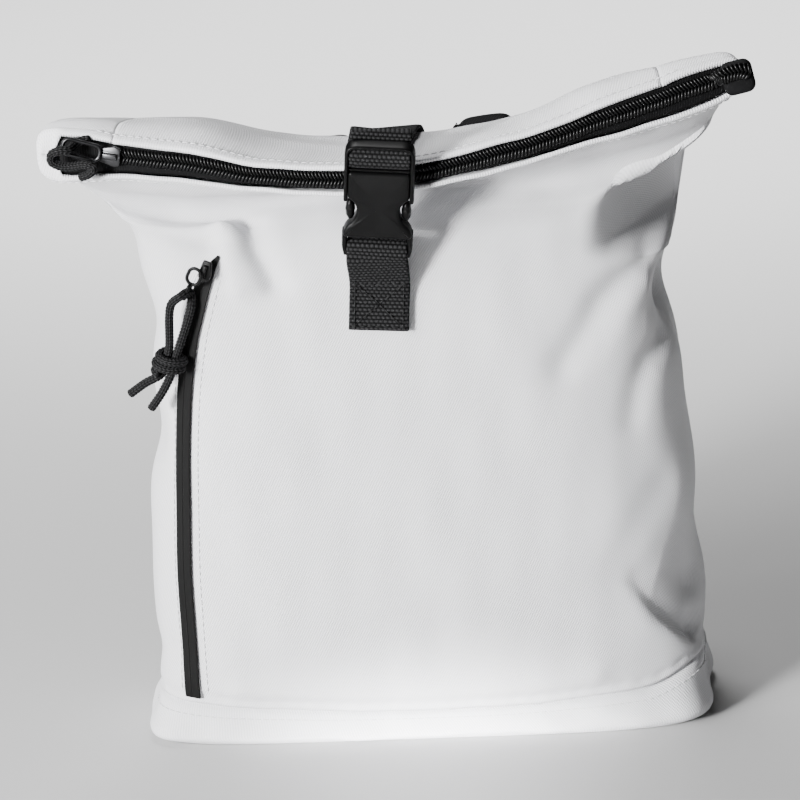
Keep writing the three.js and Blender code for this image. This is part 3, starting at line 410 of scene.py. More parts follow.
def on_seat(spot, points, degrees=0.0):
    """Points given right, up and out, turned in the seat's plane and put on it."""
    a = math.radians(degrees)
    p = np.asarray(points, float)
    x = p[..., 0] * math.cos(a) - p[..., 1] * math.sin(a)
    y = p[..., 0] * math.sin(a) + p[..., 1] * math.cos(a)
    flat = x[..., None] * spot["right"] + y[..., None] * spot["up"]
    return spot["place"] + flat + p[..., 2:3] * spot["out"]


# Meshes

def make(name, points, faces, material, uv=None, values=None, sharp_angle=None):
    """An object from points in millimetres, with its faces turned outwards."""
    mesh = bpy.data.meshes.new(name)
    mesh.from_pydata((np.asarray(points).reshape(-1, 3) * MM).tolist(), [], faces)
    bm = bmesh.new()
    bm.from_mesh(mesh)
    if bm.calc_volume(signed=True) < 0:
        bmesh.ops.reverse_faces(bm, faces=bm.faces)
    bm.to_mesh(mesh)
    bm.free()
    if uv is not None:
        corner = np.empty(len(mesh.loops), int)
        mesh.loops.foreach_get("vertex_index", corner)
        layer = mesh.uv_layers.new(name="cloth")
        layer.data.foreach_set("uv", (np.asarray(uv).reshape(-1, 2)[corner] * MM).ravel().astype(np.float32))
    for key, value in (values or {}).items():
        value = np.asarray(value, np.float32)
        kind = "FLOAT_VECTOR" if value.shape[-1] == 3 and value.ndim > 1 else "FLOAT"
        layer = mesh.attributes.new(key, kind, "POINT")
        layer.data.foreach_set("vector" if kind == "FLOAT_VECTOR" else "value", value.ravel())
    mesh.materials.append(material)
    if sharp_angle is None:
        mesh.shade_smooth()
    else:
        mesh.set_sharp_from_angle(angle=math.radians(sharp_angle))
    return placed(name, mesh)


def grid_faces(rows, columns, first=0, loop=False):
    """Quads over a grid of points, row by row; a loop joins the last column to the first."""
    faces = []
    for i in range(rows - 1):
        for j in range(columns if loop else columns - 1):
            k = (j + 1) % columns
            a, b = first + i * columns + j, first + i * columns + k
            faces.append((a, b, b + columns, a + columns))
    return faces


def capped_faces(rows, count):
    """The faces of a closed strip or tube: rings of points, with a flat face at each end."""
    last = (rows - 1) * count
    ends = [tuple(range(count))[::-1], tuple(range(last, last + count))]
    return grid_faces(rows, count, loop=True) + ends


def placed(name, data):
    """A new object in the scene."""
    made = bpy.data.objects.new(name, data)
    bpy.context.scene.collection.objects.link(made)
    return made


def dress(piece, slot, *nodes):
    """The piece rides on the bag and stands for these solids, which are hidden. slot is not used."""
    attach(piece, BODY)
    if nodes:
        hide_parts(*nodes)
    return piece


def plain_mesh(piece):
    """The object's evaluated shape as its own mesh, with no modifier left on it."""
    graph = bpy.context.evaluated_depsgraph_get()
    graph.update()
    mesh = bpy.data.meshes.new_from_object(piece.evaluated_get(graph), depsgraph=graph)
    piece.modifiers.clear()
    old = piece.data
    piece.data = mesh
    bpy.data.meshes.remove(old)
    mesh.name = piece.name
    return piece


# Angles in degrees: up to "flat" faces are made one, from "bends" edges are rounded, from "sharp" they show
ROUNDED = {"flat": 1.5, "bends": 28, "sharp": 42, "segments": 3}
DOUBLES = 1e-6  # points closer together than this, in metres, are one


def softened(name, solid, material, width):
    """A moulded piece: a solid's copy with its flat faces made whole and its edges rounded."""
    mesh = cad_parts[solid].data.copy()
    mesh.name = name
    bm = bmesh.new()
    bm.from_mesh(mesh)
    bmesh.ops.remove_doubles(bm, verts=bm.verts, dist=DOUBLES)
    flat = math.radians(ROUNDED["flat"])
    bmesh.ops.dissolve_limit(bm, angle_limit=flat, verts=bm.verts, edges=bm.edges)
    bm.to_mesh(mesh)
    bm.free()
    mesh.materials.clear()
    mesh.materials.append(material)
    piece = placed(name, mesh)
    bevel = piece.modifiers.new("round_edges", "BEVEL")
    bevel.width = width * MM
    bevel.segments = ROUNDED["segments"]
    bevel.limit_method = "ANGLE"
    bevel.angle_limit = math.radians(ROUNDED["bends"])
    bevel.use_clamp_overlap = True
    plain_mesh(piece)
    piece.data.shade_smooth()
    piece.data.set_sharp_from_angle(angle=math.radians(ROUNDED["sharp"]))
    return piece


def moved_by(piece, way):
    """The piece with its mesh moved, in millimetres."""
    piece.data.transform(Matrix.Translation(Vector(way * MM)))
    return piece


TUBE_END = 0.6  # the size of a tube's last ring, as a share


def tube(name, line, radius, sides, material, closed=False, shape=None, caps=0.45):
    """A round tube along a line. shape(angle, run) scales the radius, and caps round its open ends."""
    run = run_along(line)
    if closed:
        way = unit(np.roll(line, -1, 0) - np.roll(line, 1, 0))
        middle = line.mean(0)
        level = unit(np.cross(line[0] - middle, line[len(line) // 4] - middle))
        one, two = np.cross(level, way), np.broadcast_to(level, way.shape)
    else:
        one, two = frames(line)
    angle = np.linspace(0, 2 * math.pi, sides, endpoint=False)
    size = np.full((len(line), sides), radius, float)
    if shape is not None:
        size = size * shape(angle[None, :], run[:, None])
    ring = one[:, None, :] * np.cos(angle)[None, :, None] + two[:, None, :] * np.sin(angle)[None, :, None]
    points = line[:, None, :] + ring * size[..., None]
    uv = np.stack(np.broadcast_arrays(angle[None, :] * radius, run[:, None]), -1)
    if closed:
        faces = grid_faces(len(line), sides, loop=True)
        last = (len(line) - 1) * sides
        faces += [(last + j, last + (j + 1) % sides, (j + 1) % sides, j) for j in range(sides)]
        return make(name, points, faces, material, uv.reshape(-1, 2))
    # relief: how far each point stands out, which the braid's finish turns into painted highlights on the
    # strands and painted shade between them.
    relief = (size - size.min()) / max(np.ptp(size), 1e-6)
    way = tangents(line)
    start = line[0] + (points[0] - line[0]) * TUBE_END - way[0] * radius * caps
    end = line[-1] + (points[-1] - line[-1]) * TUBE_END + way[-1] * radius * caps
    points = np.concatenate([start[None], points, end[None]])
    uv = np.concatenate([uv[:1], uv, uv[-1:]])
    relief = np.concatenate([relief[:1], relief, relief[-1:]])
    faces = capped_faces(len(points), sides)
    return make(name, points, faces, material, uv.reshape(-1, 2), {"relief": relief.ravel()})


# Node trees

def node(tree, kind, inputs=None, **settings):
    """A new node with its settings, and each named input linked from a socket or set to a value."""
    made = tree.nodes.new(kind)
    for key, value in settings.items():
        setattr(made, key, value)
    for key, value in (inputs or {}).items():
        if isinstance(value, bpy.types.NodeSocket):
            tree.links.new(value, made.inputs[key])
        else:
            made.inputs[key].default_value = value
    return made


def calc(tree, operation, a, b=0.0):
    """The result of one sum on two sockets or numbers."""
    return node(tree, "ShaderNodeMath", {0: a, 1: b}, operation=operation).outputs[0]


def group(name, kind, inputs, outputs):
    """A node group with the sockets of its input and output nodes.

    Inputs and outputs are given by label, with the kind of socket or, for a number, with its first value.
    """
    tree = bpy.data.node_groups.new(name, kind)
    for label, value in inputs.items():
        named = isinstance(value, str)
        socket = value if named else {float: "Float", int: "Int"}[type(value)]
        made = tree.interface.new_socket(label, in_out="INPUT", socket_type=f"NodeSocket{socket}")
        if not named:
            made.default_value = value
    for label, socket in outputs.items():
        tree.interface.new_socket(label, in_out="OUTPUT", socket_type=f"NodeSocket{socket}")
    return tree, tree.nodes.new("NodeGroupInput").outputs, tree.nodes.new("NodeGroupOutput").inputs


def run_tree(piece, tree, **values):
    """The tree's result on an object as its plain mesh, with inputs given by their labels."""
    modifier = piece.modifiers.new(tree.name, "NODES")
    modifier.node_group = tree
    for item in tree.interface.items_tree:
        key = item.name.lower().replace(" ", "_")
        if item.item_type == "SOCKET" and item.in_out == "INPUT" and key in values:
            modifier[item.identifier] = values[key]
    return plain_mesh(piece)


def row_tree():
    """A shape repeated along paths: every pitch one copy, its x along the path and its z outwards."""
    tree, given, result = group(
        "row_along_path", "GeometryNodeTree",
        {
            "Paths": "Geometry", "Shape": "Object", "Pitch": 0.003, "Across": 0.0,
            "Turn": 0.0, "Turn Spread": 0.0, "Seed": SEED, "Finish": "Material",
        },
        {"Row": "Geometry"},
    )
    curve = node(tree, "GeometryNodeMeshToCurve", {"Mesh": given["Paths"]})
    spaced = node(
        tree, "GeometryNodeResampleCurve",
        {"Curve": curve.outputs["Curve"], "Length": given["Pitch"]}, mode="LENGTH",
    )
    out = node(tree, "GeometryNodeInputNamedAttribute", {"Name": "out"}, data_type="FLOAT_VECTOR")
    way = node(tree, "GeometryNodeInputTangent")
    facing = node(
        tree, "FunctionNodeAxesToRotation",
        {"Primary Axis": way.outputs[0], "Secondary Axis": out.outputs["Attribute"]},
        primary_axis="X", secondary_axis="Z",
    )
    least = calc(tree, "MULTIPLY", given["Turn Spread"], -1.0)
    spread = node(
        tree, "FunctionNodeRandomValue",
        {2: least, 3: given["Turn Spread"], "Seed": given["Seed"]}, data_type="FLOAT",
    )
    turn = node(tree, "ShaderNodeCombineXYZ", {"Z": calc(tree, "ADD", given["Turn"], spread.outputs[1])})
    euler = node(tree, "FunctionNodeEulerToRotation", {"Euler": turn.outputs[0]})
    shape = node(tree, "GeometryNodeObjectInfo", {"Object": given["Shape"]}, transform_space="ORIGINAL")
    copies = node(
        tree, "GeometryNodeInstanceOnPoints",
        {
            "Points": spaced.outputs["Curve"], "Instance": shape.outputs["Geometry"],
            "Rotation": facing.outputs[0],
        },
    )
    shift = node(tree, "ShaderNodeCombineXYZ", {"Y": given["Across"]})
    moved = node(
        tree, "GeometryNodeTranslateInstances",
        {"Instances": copies.outputs[0], "Translation": shift.outputs[0], "Local Space": True},
    )
    angled = node(
        tree, "GeometryNodeRotateInstances",
        {"Instances": moved.outputs[0], "Rotation": euler.outputs[0], "Local Space": True},
    )
    real = node(tree, "GeometryNodeRealizeInstances", {"Geometry": angled.outputs[0]})
    finish = node(tree, "GeometryNodeSetMaterial", {"Geometry": real.outputs[0], "Material": given["Finish"]})
    tree.links.new(finish.outputs[0], result["Row"])
    return tree


def rib_height(tree, along, across, rib_pitch, bump_pitch):
    """A share from 0 to 1: ribs across webbing, each broken into bumps, staggered from rib to rib."""
    ribs = calc(tree, "DIVIDE", along, rib_pitch)
    rib = calc(tree, "ABSOLUTE", calc(tree, "SINE", calc(tree, "MULTIPLY", ribs, math.pi)))
    stagger = calc(tree, "MULTIPLY", calc(tree, "FLOOR", ribs), 0.5)
    bumps = calc(tree, "ADD", calc(tree, "DIVIDE", across, bump_pitch), stagger)
    bump = calc(tree, "ABSOLUTE", calc(tree, "SINE", calc(tree, "MULTIPLY", bumps, math.pi)))
    return calc(tree, "MULTIPLY", calc(tree, "POWER", rib, 1.2), calc(tree, "POWER", bump, 0.6))


def webbing_tree():
    """Ribs across webbing, each broken into bumps that are staggered from one rib to the next."""
    tree, given, result = group(
        "ribbed_webbing", "GeometryNodeTree",
        {"Strip": "Geometry", "Rib Pitch": 1.6, "Bump Pitch": 2.5, "Depth": 0.0003, "Finish": "Material"},
        {"Webbing": "Geometry"},
    )

    def value(name, kind="FLOAT"):
        return node(tree, "GeometryNodeInputNamedAttribute", {"Name": name}, data_type=kind).outputs[0]

    share = rib_height(tree, value("along"), value("across"), given["Rib Pitch"], given["Bump Pitch"])
    height = calc(tree, "MULTIPLY", share, given["Depth"])
    out = value("out", "FLOAT_VECTOR")
    offset = node(tree, "ShaderNodeVectorMath", {0: out, "Scale": height}, operation="SCALE")
    moved = node(tree, "GeometryNodeSetPosition", {"Geometry": given["Strip"], "Offset": offset.outputs[0]})
    real = node(tree, "GeometryNodeRealizeInstances", {"Geometry": moved.outputs[0]})
    finish = node(tree, "GeometryNodeSetMaterial", {"Geometry": real.outputs[0], "Material": given["Finish"]})
    tree.links.new(finish.outputs[0], result["Webbing"])
    return tree


# Shader groups that several finishes share

def weave_group():
    """Threads over and under each other, on a surface's own map in metres, and painted shade for the hollows
    between them.
    """
    tree, given, result = group(
        "woven_threads", "ShaderNodeTree",
        {"Map": "Vector", "Pitch": 0.0008, "Slant": 0.0}, {"Height": "Float", "Hollow": "Float"},
    )
    parts = node(tree, "ShaderNodeSeparateXYZ", {0: given["Map"]})
    u = calc(tree, "DIVIDE", parts.outputs["X"], given["Pitch"])
    v = calc(tree, "DIVIDE", parts.outputs["Y"], given["Pitch"])
    u = calc(tree, "ADD", u, calc(tree, "MULTIPLY", v, given["Slant"]))
    over = calc(tree, "SINE", calc(tree, "MULTIPLY", u, 2 * math.pi))
    under = calc(tree, "SINE", calc(tree, "MULTIPLY", v, 2 * math.pi))
    crossing = calc(tree, "MULTIPLY", over, under)
    height = calc(tree, "ADD", calc(tree, "MULTIPLY", crossing, 0.5), 0.5)
    tree.links.new(height, result["Height"])
    # How deep each point lies between the threads, squared: used only for painted shade.
    hollow = calc(tree, "SUBTRACT", 1.0, height)
    tree.links.new(calc(tree, "POWER", hollow, 2.0), result["Hollow"])
    return tree


def rib_group():
    """The bumps of ribbed webbing, in step with its mesh, on its map in metres, and painted shade between
    them that leaves their tops as painted highlights.
    """
    tree, given, result = group(
        "webbing_bumps", "ShaderNodeTree",
        {"Map": "Vector", "Rib Pitch": 0.0016, "Bump Pitch": 0.0025}, {"Height": "Float", "Hollow": "Float"},
    )
    parts = node(tree, "ShaderNodeSeparateXYZ", {0: given["Map"]})
    height = rib_height(tree, parts.outputs["Y"], parts.outputs["X"], given["Rib Pitch"], given["Bump Pitch"])
    tree.links.new(height, result["Height"])
    # Painted shade between the bumps, painted highlights on their tops.
    tree.links.new(calc(tree, "SUBTRACT", 1.0, height), result["Hollow"])
    return tree


def grain_group():
    """Fine grain and slow blotches on Object coordinates."""
    tree, given, result = group(
        "grain", "ShaderNodeTree",
        {"Fine": 2500.0, "Slow": 60.0}, {"Height": "Float", "Blotch": "Float"},
    )
    place = node(tree, "ShaderNodeTexCoord").outputs["Object"]
    fine = node(tree, "ShaderNodeTexNoise", {"Vector": place, "Scale": given["Fine"], "Detail": 2.0})
    slow = node(tree, "ShaderNodeTexNoise", {"Vector": place, "Scale": given["Slow"], "Detail": 3.0})
    tree.links.new(fine.outputs[0], result["Height"])
    tree.links.new(slow.outputs[0], result["Blotch"])
    return tree


WEAVE = weave_group()
BUMPS = rib_group()
GRAIN = grain_group()


def finish_of(
    name, dark, light, rough, bump, weave=None, ribs=None, braid=False, depth=0.7,
    fine=2500.0, slow=60.0, **sockets
):
    """A finish between two colours and two roughnesses, with grain, and threads, ribs or a braid if woven.

    weave is (pitch in metres, slant), ribs are two pitches and bump is (strength, distance), in metres.
    depth is how far the hollows between threads or ribs are painted towards the dark colour: painted shade,
    which leaves their raised tops light as painted highlights.
    The rest of the colour is slow blotches of tone. A braid is painted light on its strands' crowns and dark
    between them.
    The threads' bumps fade out where the cloth is drawn long; their painted shade stays. sockets are the
    shader's own values.
    """
    material = bpy.data.materials.new(name)
    material.use_nodes = True
    tree = material.node_tree
    shader = tree.nodes["Principled BSDF"]
    for key, value in sockets.items():
        shader.inputs[key.replace("_", " ").title().replace("Ior", "IOR")].default_value = value
    grain = node(tree, "ShaderNodeGroup", node_tree=GRAIN)
    grain.inputs["Fine"].default_value, grain.inputs["Slow"].default_value = fine, slow
    tone_and_painted_light, height = grain.outputs["Blotch"], grain.outputs["Height"]
    if weave or ribs:
        threads = node(tree, "ShaderNodeGroup", node_tree=WEAVE if weave else BUMPS)
        tree.links.new(node(tree, "ShaderNodeTexCoord").outputs["UV"], threads.inputs["Map"])
        threads.inputs[1].default_value, threads.inputs[2].default_value = weave or ribs
        drawn = node(tree, "ShaderNodeAttribute", attribute_name="drawn").outputs["Fac"]
        there = calc(tree, "SUBTRACT", 1.0, drawn)
        raised = calc(tree, "MULTIPLY", threads.outputs["Height"], there)
        height = calc(tree, "ADD", calc(tree, "MULTIPLY", height, 0.2), raised)
        # Painted shade: the hollows between threads or ribs go towards the dark colour, and their raised tops
        # stay light as painted highlights.
        painted_shade = calc(tree, "MULTIPLY", threads.outputs["Hollow"], depth)
        tone_and_painted_light = calc(tree, "ADD", calc(tree, "MULTIPLY", tone_and_painted_light, 1 - depth), painted_shade)
    # Painted highlights: a braid's strand crowns take the light colour and the dips between them the dark
    # one.
    if braid:
        strands = node(tree, "ShaderNodeAttribute", attribute_name="relief").outputs["Fac"]
        tone_and_painted_light = calc(tree, "SUBTRACT", 1.0, calc(tree, "POWER", strands, 1.5))
    colour = node(tree, "ShaderNodeMix", {0: tone_and_painted_light, 6: (*light, 1), 7: (*dark, 1)}, data_type="RGBA")
    tree.links.new(colour.outputs[2], shader.inputs["Base Color"])
    roughness = node(tree, "ShaderNodeMapRange", {0: grain.outputs["Blotch"], 3: rough[0], 4: rough[1]})
    tree.links.new(roughness.outputs[0], shader.inputs["Roughness"])
    relief = node(tree, "ShaderNodeBump", {"Strength": bump[0], "Distance": bump[1], "Height": height})
    tree.links.new(relief.outputs[0], shader.inputs["Normal"])
    return material


# Painted shade: the woven finishes here (this cloth, both zip tapes and the pad cloth) are darker in the
# hollows between their threads, with slow blotches of tone as well.
WHITE_CLOTH = finish_of(
    "white_coated_cloth", (0.50, 0.50, 0.525), (0.84, 0.84, 0.855), (0.42, 0.58), (0.75, 0.0003),
    weave=(0.0011, 0.5), fine=900.0, slow=14.0, sheen_weight=0.12, sheen_roughness=0.4,
)
WHITE_THREAD = finish_of(
    "white_thread", (0.55, 0.55, 0.57), (0.74, 0.74, 0.75), (0.5, 0.7), (0.3, 0.0001), fine=4000.0,
)
# Painted highlights: the webbing's rib bumps take the light colour and the hollows between them almost only
# the dark one; the ribs are also real relief.
BLACK_WEBBING = finish_of(
    "black_webbing", (0.0002, 0.0002, 0.0002), (0.026, 0.026, 0.027), (0.5, 0.7), (0.4, 0.0003),
    ribs=(0.0016, 0.0019), depth=0.95, specular_ior_level=0.04,
)
BLACK_TAPE = finish_of(
    "black_zip_tape", (0.002, 0.002, 0.002), (0.007, 0.007, 0.0075), (0.55, 0.75), (0.6, 0.0003),
    weave=(0.0011, 1.0), specular_ior_level=0.06,
)
POCKET_TAPE = finish_of(
    "coated_zip_tape", (0.003, 0.003, 0.003), (0.006, 0.006, 0.006), (0.5, 0.65), (0.15, 0.0001),
    weave=(0.0007, 0.0), specular_ior_level=0.08,
)
BLACK_COIL = finish_of(
    "black_nylon_coil", (0.001, 0.001, 0.001), (0.003, 0.003, 0.0032), (0.26, 0.38), (0.1, 0.00005),
    specular_ior_level=0.2,
)
BLACK_PLASTIC = finish_of(
    "black_moulded_plastic", (0.0012, 0.0012, 0.0012), (0.0024, 0.0024, 0.0026), (0.34, 0.46),
    (0.12, 0.00006), fine=3200.0, slow=90.0, specular_ior_level=0.11,
)
# Painted highlights: the cord's strand crowns take the light colour and the dips between them the dark one.
BLACK_CORD = finish_of(
    "black_braided_cord", (0.0002, 0.0002, 0.0002), (0.027, 0.027, 0.028), (0.45, 0.65), (0.3, 0.0001),
    braid=True, fine=5000.0, specular_ior_level=0.05,
)
GUN_METAL = finish_of(
    "gunmetal_plating", (0.02, 0.02, 0.021), (0.07, 0.07, 0.073), (0.24, 0.38), (0.08, 0.00004),
    metallic=1.0,
)
PAD_CLOTH = finish_of(
    "black_pad_cloth", (0.002, 0.002, 0.002), (0.008, 0.008, 0.009), (0.6, 0.8), (0.5, 0.0003),
    weave=(0.0012, 0.5), specular_ior_level=0.08,
)
BLACK_THREAD = finish_of(
    "black_thread", (0.003, 0.003, 0.003), (0.009, 0.009, 0.0095), (0.4, 0.6), (0.3, 0.0001), fine=4000.0,
    specular_ior_level=0.2,
)
ROW = row_tree()
RIBS = webbing_tree()


# The camera, at the photograph's angle, and the studio

VIEW = {"azimuth": 4.38, "elevation": 18.0, "roll": 3.7, "distance": 1800.0, "lens": 191.5}
VIEW_MIDDLE = np.array([0.0, -20.0, 130.0])
VIEW_OFFSET = (-7.4, 14.8)  # from that point to the middle of the image, right and up in the image


def make_camera():
    a, e, r = (math.radians(VIEW[k]) for k in ("azimuth", "elevation", "roll"))
    back = np.array([math.sin(a) * math.cos(e), -math.cos(a) * math.cos(e), math.sin(e)])
    right = np.array([math.cos(a), math.sin(a), 0.0])
    up = np.cross(back, right)
    image_x = right * math.cos(r) - up * math.sin(r)
    image_y = right * math.sin(r) + up * math.cos(r)
    aim = VIEW_MIDDLE + image_x * VIEW_OFFSET[0] + image_y * VIEW_OFFSET[1]
    data = bpy.data.cameras.new("camera")
    data.lens = VIEW["lens"]
    data.sensor_width = 36.0
    data.clip_end = 50.0
    camera = placed("camera", data)
    turn = Matrix((image_x, image_y, back)).transposed().to_4x4()
    camera.matrix_world = Matrix.Translation(Vector((aim + back * VIEW["distance"]) * MM)) @ turn
    bpy.context.scene.camera = camera


# Round area lights: place and aim in metres, size, power in watts and spread in degrees
AREA_LIGHTS = [
    ("key_light", (-1.48, -1.84, 0.66), (0, 0, 0.13), 0.55, 163.0, 180.0),
    ("fill_light", (-1.9, -1.35, 1.25), (0, 0, 0.15), 1.4, 58.0, 180.0),
    ("top_light", (-0.2, 0.5, 1.5), (0, 0, 0.2), 0.6, 17.0, 180.0),
    ("low_light", (-0.03, -0.75, 0.02), (0, -0.045, -0.085), 0.08, 2.0, 18.0),
]
# The spot that brightens the floor behind the bag
FLOOR_LIGHT = {"place": (0.0, 1.35, 1.5), "power": 300.0, "angle": 72.0, "blend": 0.6, "size": 0.3}
FLOOR = {"reach": 6.0, "below": 0.0002, "grey": 0.5, "rough": 0.9}
WORLD_STRENGTH = 0.05


def area_light(name, place, aim, size, power, spread):
    data = bpy.data.lights.new(name, "AREA")
    data.shape = "DISK"
    data.size = size
    data.energy = power
    data.spread = math.radians(spread)
    light = placed(name, data)
    light.location = place
    light.rotation_mode = "QUATERNION"
    light.rotation_quaternion = (Vector(aim) - Vector(place)).to_track_quat("-Z", "Y")


def make_studio():
    mesh = bpy.data.meshes.new("floor")
    corners = [(-1, -1, 0), (1, -1, 0), (1, 1, 0), (-1, 1, 0)]
    mesh.from_pydata([Vector(corner) * FLOOR["reach"] for corner in corners], [], [(0, 1, 2, 3)])
    floor = placed("floor", mesh)
    floor.location.z = -FLOOR["below"]
    paper = bpy.data.materials.new("pale_floor")
    paper.use_nodes = True
    shader = paper.node_tree.nodes["Principled BSDF"]
    shader.inputs["Base Color"].default_value = (FLOOR["grey"], FLOOR["grey"], FLOOR["grey"], 1)
    shader.inputs["Roughness"].default_value = FLOOR["rough"]
    mesh.materials.append(paper)
    world = bpy.data.worlds.new("studio")
    bpy.context.scene.world = world
    world.use_nodes = True
    background = world.node_tree.nodes["Background"]
    background.inputs["Color"].default_value = (1.0, 1.0, 1.0, 1)
    background.inputs["Strength"].default_value = WORLD_STRENGTH
    for light in AREA_LIGHTS:
        area_light(*light)
    data = bpy.data.lights.new("floor_light", "SPOT")
    data.energy = FLOOR_LIGHT["power"]
    data.spot_size = math.radians(FLOOR_LIGHT["angle"])
    data.spot_blend = FLOOR_LIGHT["blend"]
    data.shadow_soft_size = FLOOR_LIGHT["size"]
    placed("floor_light", data).location = FLOOR_LIGHT["place"]


make_camera()
make_studio()


# The cloth panels

def wall(name, outer, inner, material, flat, step, values=None):
    """A closed wall from a fine outer grid and an inner grid with every so many of its points.

    flat is the outer grid's map and values are its attributes; the inner grid has every so many of them.
    """
    rows, columns = outer.shape[:2]
    inner_rows, inner_columns = inner.shape[:2]
    first = rows * columns
    faces = grid_faces(rows, columns) + [f[::-1] for f in grid_faces(inner_rows, inner_columns, first)]

    def rim(edge, hidden):
        for k in range(len(hidden) - 1):
            faces.append((*edge[k * step:(k + 1) * step + 1][::-1], hidden[k], hidden[k + 1]))

    ids = np.arange(first).reshape(rows, columns)
    deep = first + np.arange(inner_rows * inner_columns).reshape(inner_rows, inner_columns)
    rim(ids[0].tolist(), deep[0].tolist())
    rim(ids[-1].tolist()[::-1], deep[-1].tolist()[::-1])
    rim(ids[:, 0].tolist()[::-1], deep[:, 0].tolist()[::-1])
    rim(ids[:, -1].tolist(), deep[:, -1].tolist())
    points = np.concatenate([outer.reshape(-1, 3), inner.reshape(-1, 3)])
    uv = np.concatenate([flat.reshape(-1, 2), flat[::step, ::step].reshape(-1, 2)])
    values = {k: np.concatenate([v.ravel(), v[::step, ::step].ravel()]) for k, v in (values or {}).items()}
    return make(name, points, faces, material, uv, values)


DRAWN = (1.1, 1.4)  # the stretch at which the weave starts to fade and is gone
PANEL_STEP = 3  # the inner face has every third point of the outer one
# The folded hem round the mouth: how deep and proud it is, the width of the step to it, how far its edge is
# rounded in, and the height that has the closest rows
HEM = {"deep": 4.5, "proud": 0.45, "step": 1.2, "round": 0.7, "rows": 6.0}
# The panels' rows up to the mouth: closer together where the side is tucked in and at the hem
ROWS = [
    (BASE_SEAM + GAP, 234, 46), (234, 266, 27),
    (266, MOUTH - HEM["rows"], 9), (MOUTH - HEM["rows"], MOUTH, 4),
]
EAR = {"from": 0.227, "to": 0.237, "deep": 4.0, "out": 0.6}  # where the hems meet at the mouth's left end
HALF_MOUTH = 0.2495  # just short of the quarter turn where the mouth's two edges meet
ZIP_ALONG = MOUTH - ZIP_SINK
TAPE_INSIDE = CLOTH + 3.5 * GAP


def mouth_points(ws):
    """The lower and the upper edge of the zip's tape: w is the way round as a share of a turn."""
    ws = np.atleast_1d(ws).astype(float)
    return cloth(0.5 + ws, ZIP_ALONG, TAPE_INSIDE)[0], cloth(-ws, ZIP_ALONG, TAPE_INSIDE)[0]


def close_ear(points, us, ats):
    """Draw the two hems together over the left end of the mouth, where they are sewn to each other."""
    w = np.mod(us, 1) - 0.5
    w = np.where(np.abs(w) > 0.25, np.sign(w) * (0.5 - np.abs(w)), w)
    share = smoothstep(-w, EAR["from"], EAR["to"])
    low, high = mouth_points(np.clip(w, -HALF_MOUTH, HALF_MOUTH))
    middle = (low + high) / 2 + FORWARD * EAR["out"]
    pull = smoothstep(ats, MOUTH - EAR["deep"], MOUTH)[:, None] * share[None, :]
    return points + (middle[None] - points) * pull[..., None]


def panel(name, from_share, to_share, columns):
    """One cloth panel between two shares of a turn, hemmed at the mouth; "drawn" is where it is stretched."""
    us = np.linspace(from_share, to_share, columns * PANEL_STEP + 1)
    steps = [np.linspace(low, high, count * PANEL_STEP + 1)[1:] for low, high, count in ROWS]
    ats = np.concatenate([[ROWS[0][0]], *steps])
    proud = HEM["proud"] * smoothstep(ats, MOUTH - HEM["deep"], MOUTH - HEM["deep"] + HEM["step"])
    rounding = HEM["round"] * np.clip((ats - (MOUTH - CLOTH)) / CLOTH, 0, 1) ** 2
    outer = np.concatenate([cloth(us, at, rounding[k] - proud[k]) for k, at in enumerate(ats)])
    outer = close_ear(outer, us, ats)
    inner = cloth(us[::PANEL_STEP], ats[::PANEL_STEP], CLOTH)
    inner = close_ear(inner, us[::PANEL_STEP], ats[::PANEL_STEP])
    around = np.outer([girth(at) for at in ats], us - 0.5)
    flat = np.stack([around, np.broadcast_to(ats[:, None], around.shape)], -1)
    stretch = np.linalg.norm(np.gradient(outer, ats, axis=0), axis=2)
    drawn = {"drawn": smoothstep(stretch, *DRAWN)}
    return wall(name, outer, inner, WHITE_CLOTH, flat, PANEL_STEP, drawn)


dress(panel("front_cloth", 0.5 - SEAM_SHARE, 0.5 + SEAM_SHARE, 84), "white_cloth", "front_panel")
dress(panel("back_cloth", 0.5 + SEAM_SHARE, 1.5 - SEAM_SHARE, 42), "white_cloth", "back_panel")


def welded(piece):
    """The piece with points that lie on each other made one: it closes a ring where its weave starts."""
    bm = bmesh.new()
    bm.from_mesh(piece.data)
    bmesh.ops.remove_doubles(bm, verts=bm.verts, dist=DOUBLES)
    bm.to_mesh(piece.data)
    bm.free()
    return piece


BASE_TUCK = [(3.2, 2.2), (1.4, 1.9), (0.2, 1.1), (-0.4, 0.5)]  # heights from the seam, and how far inside


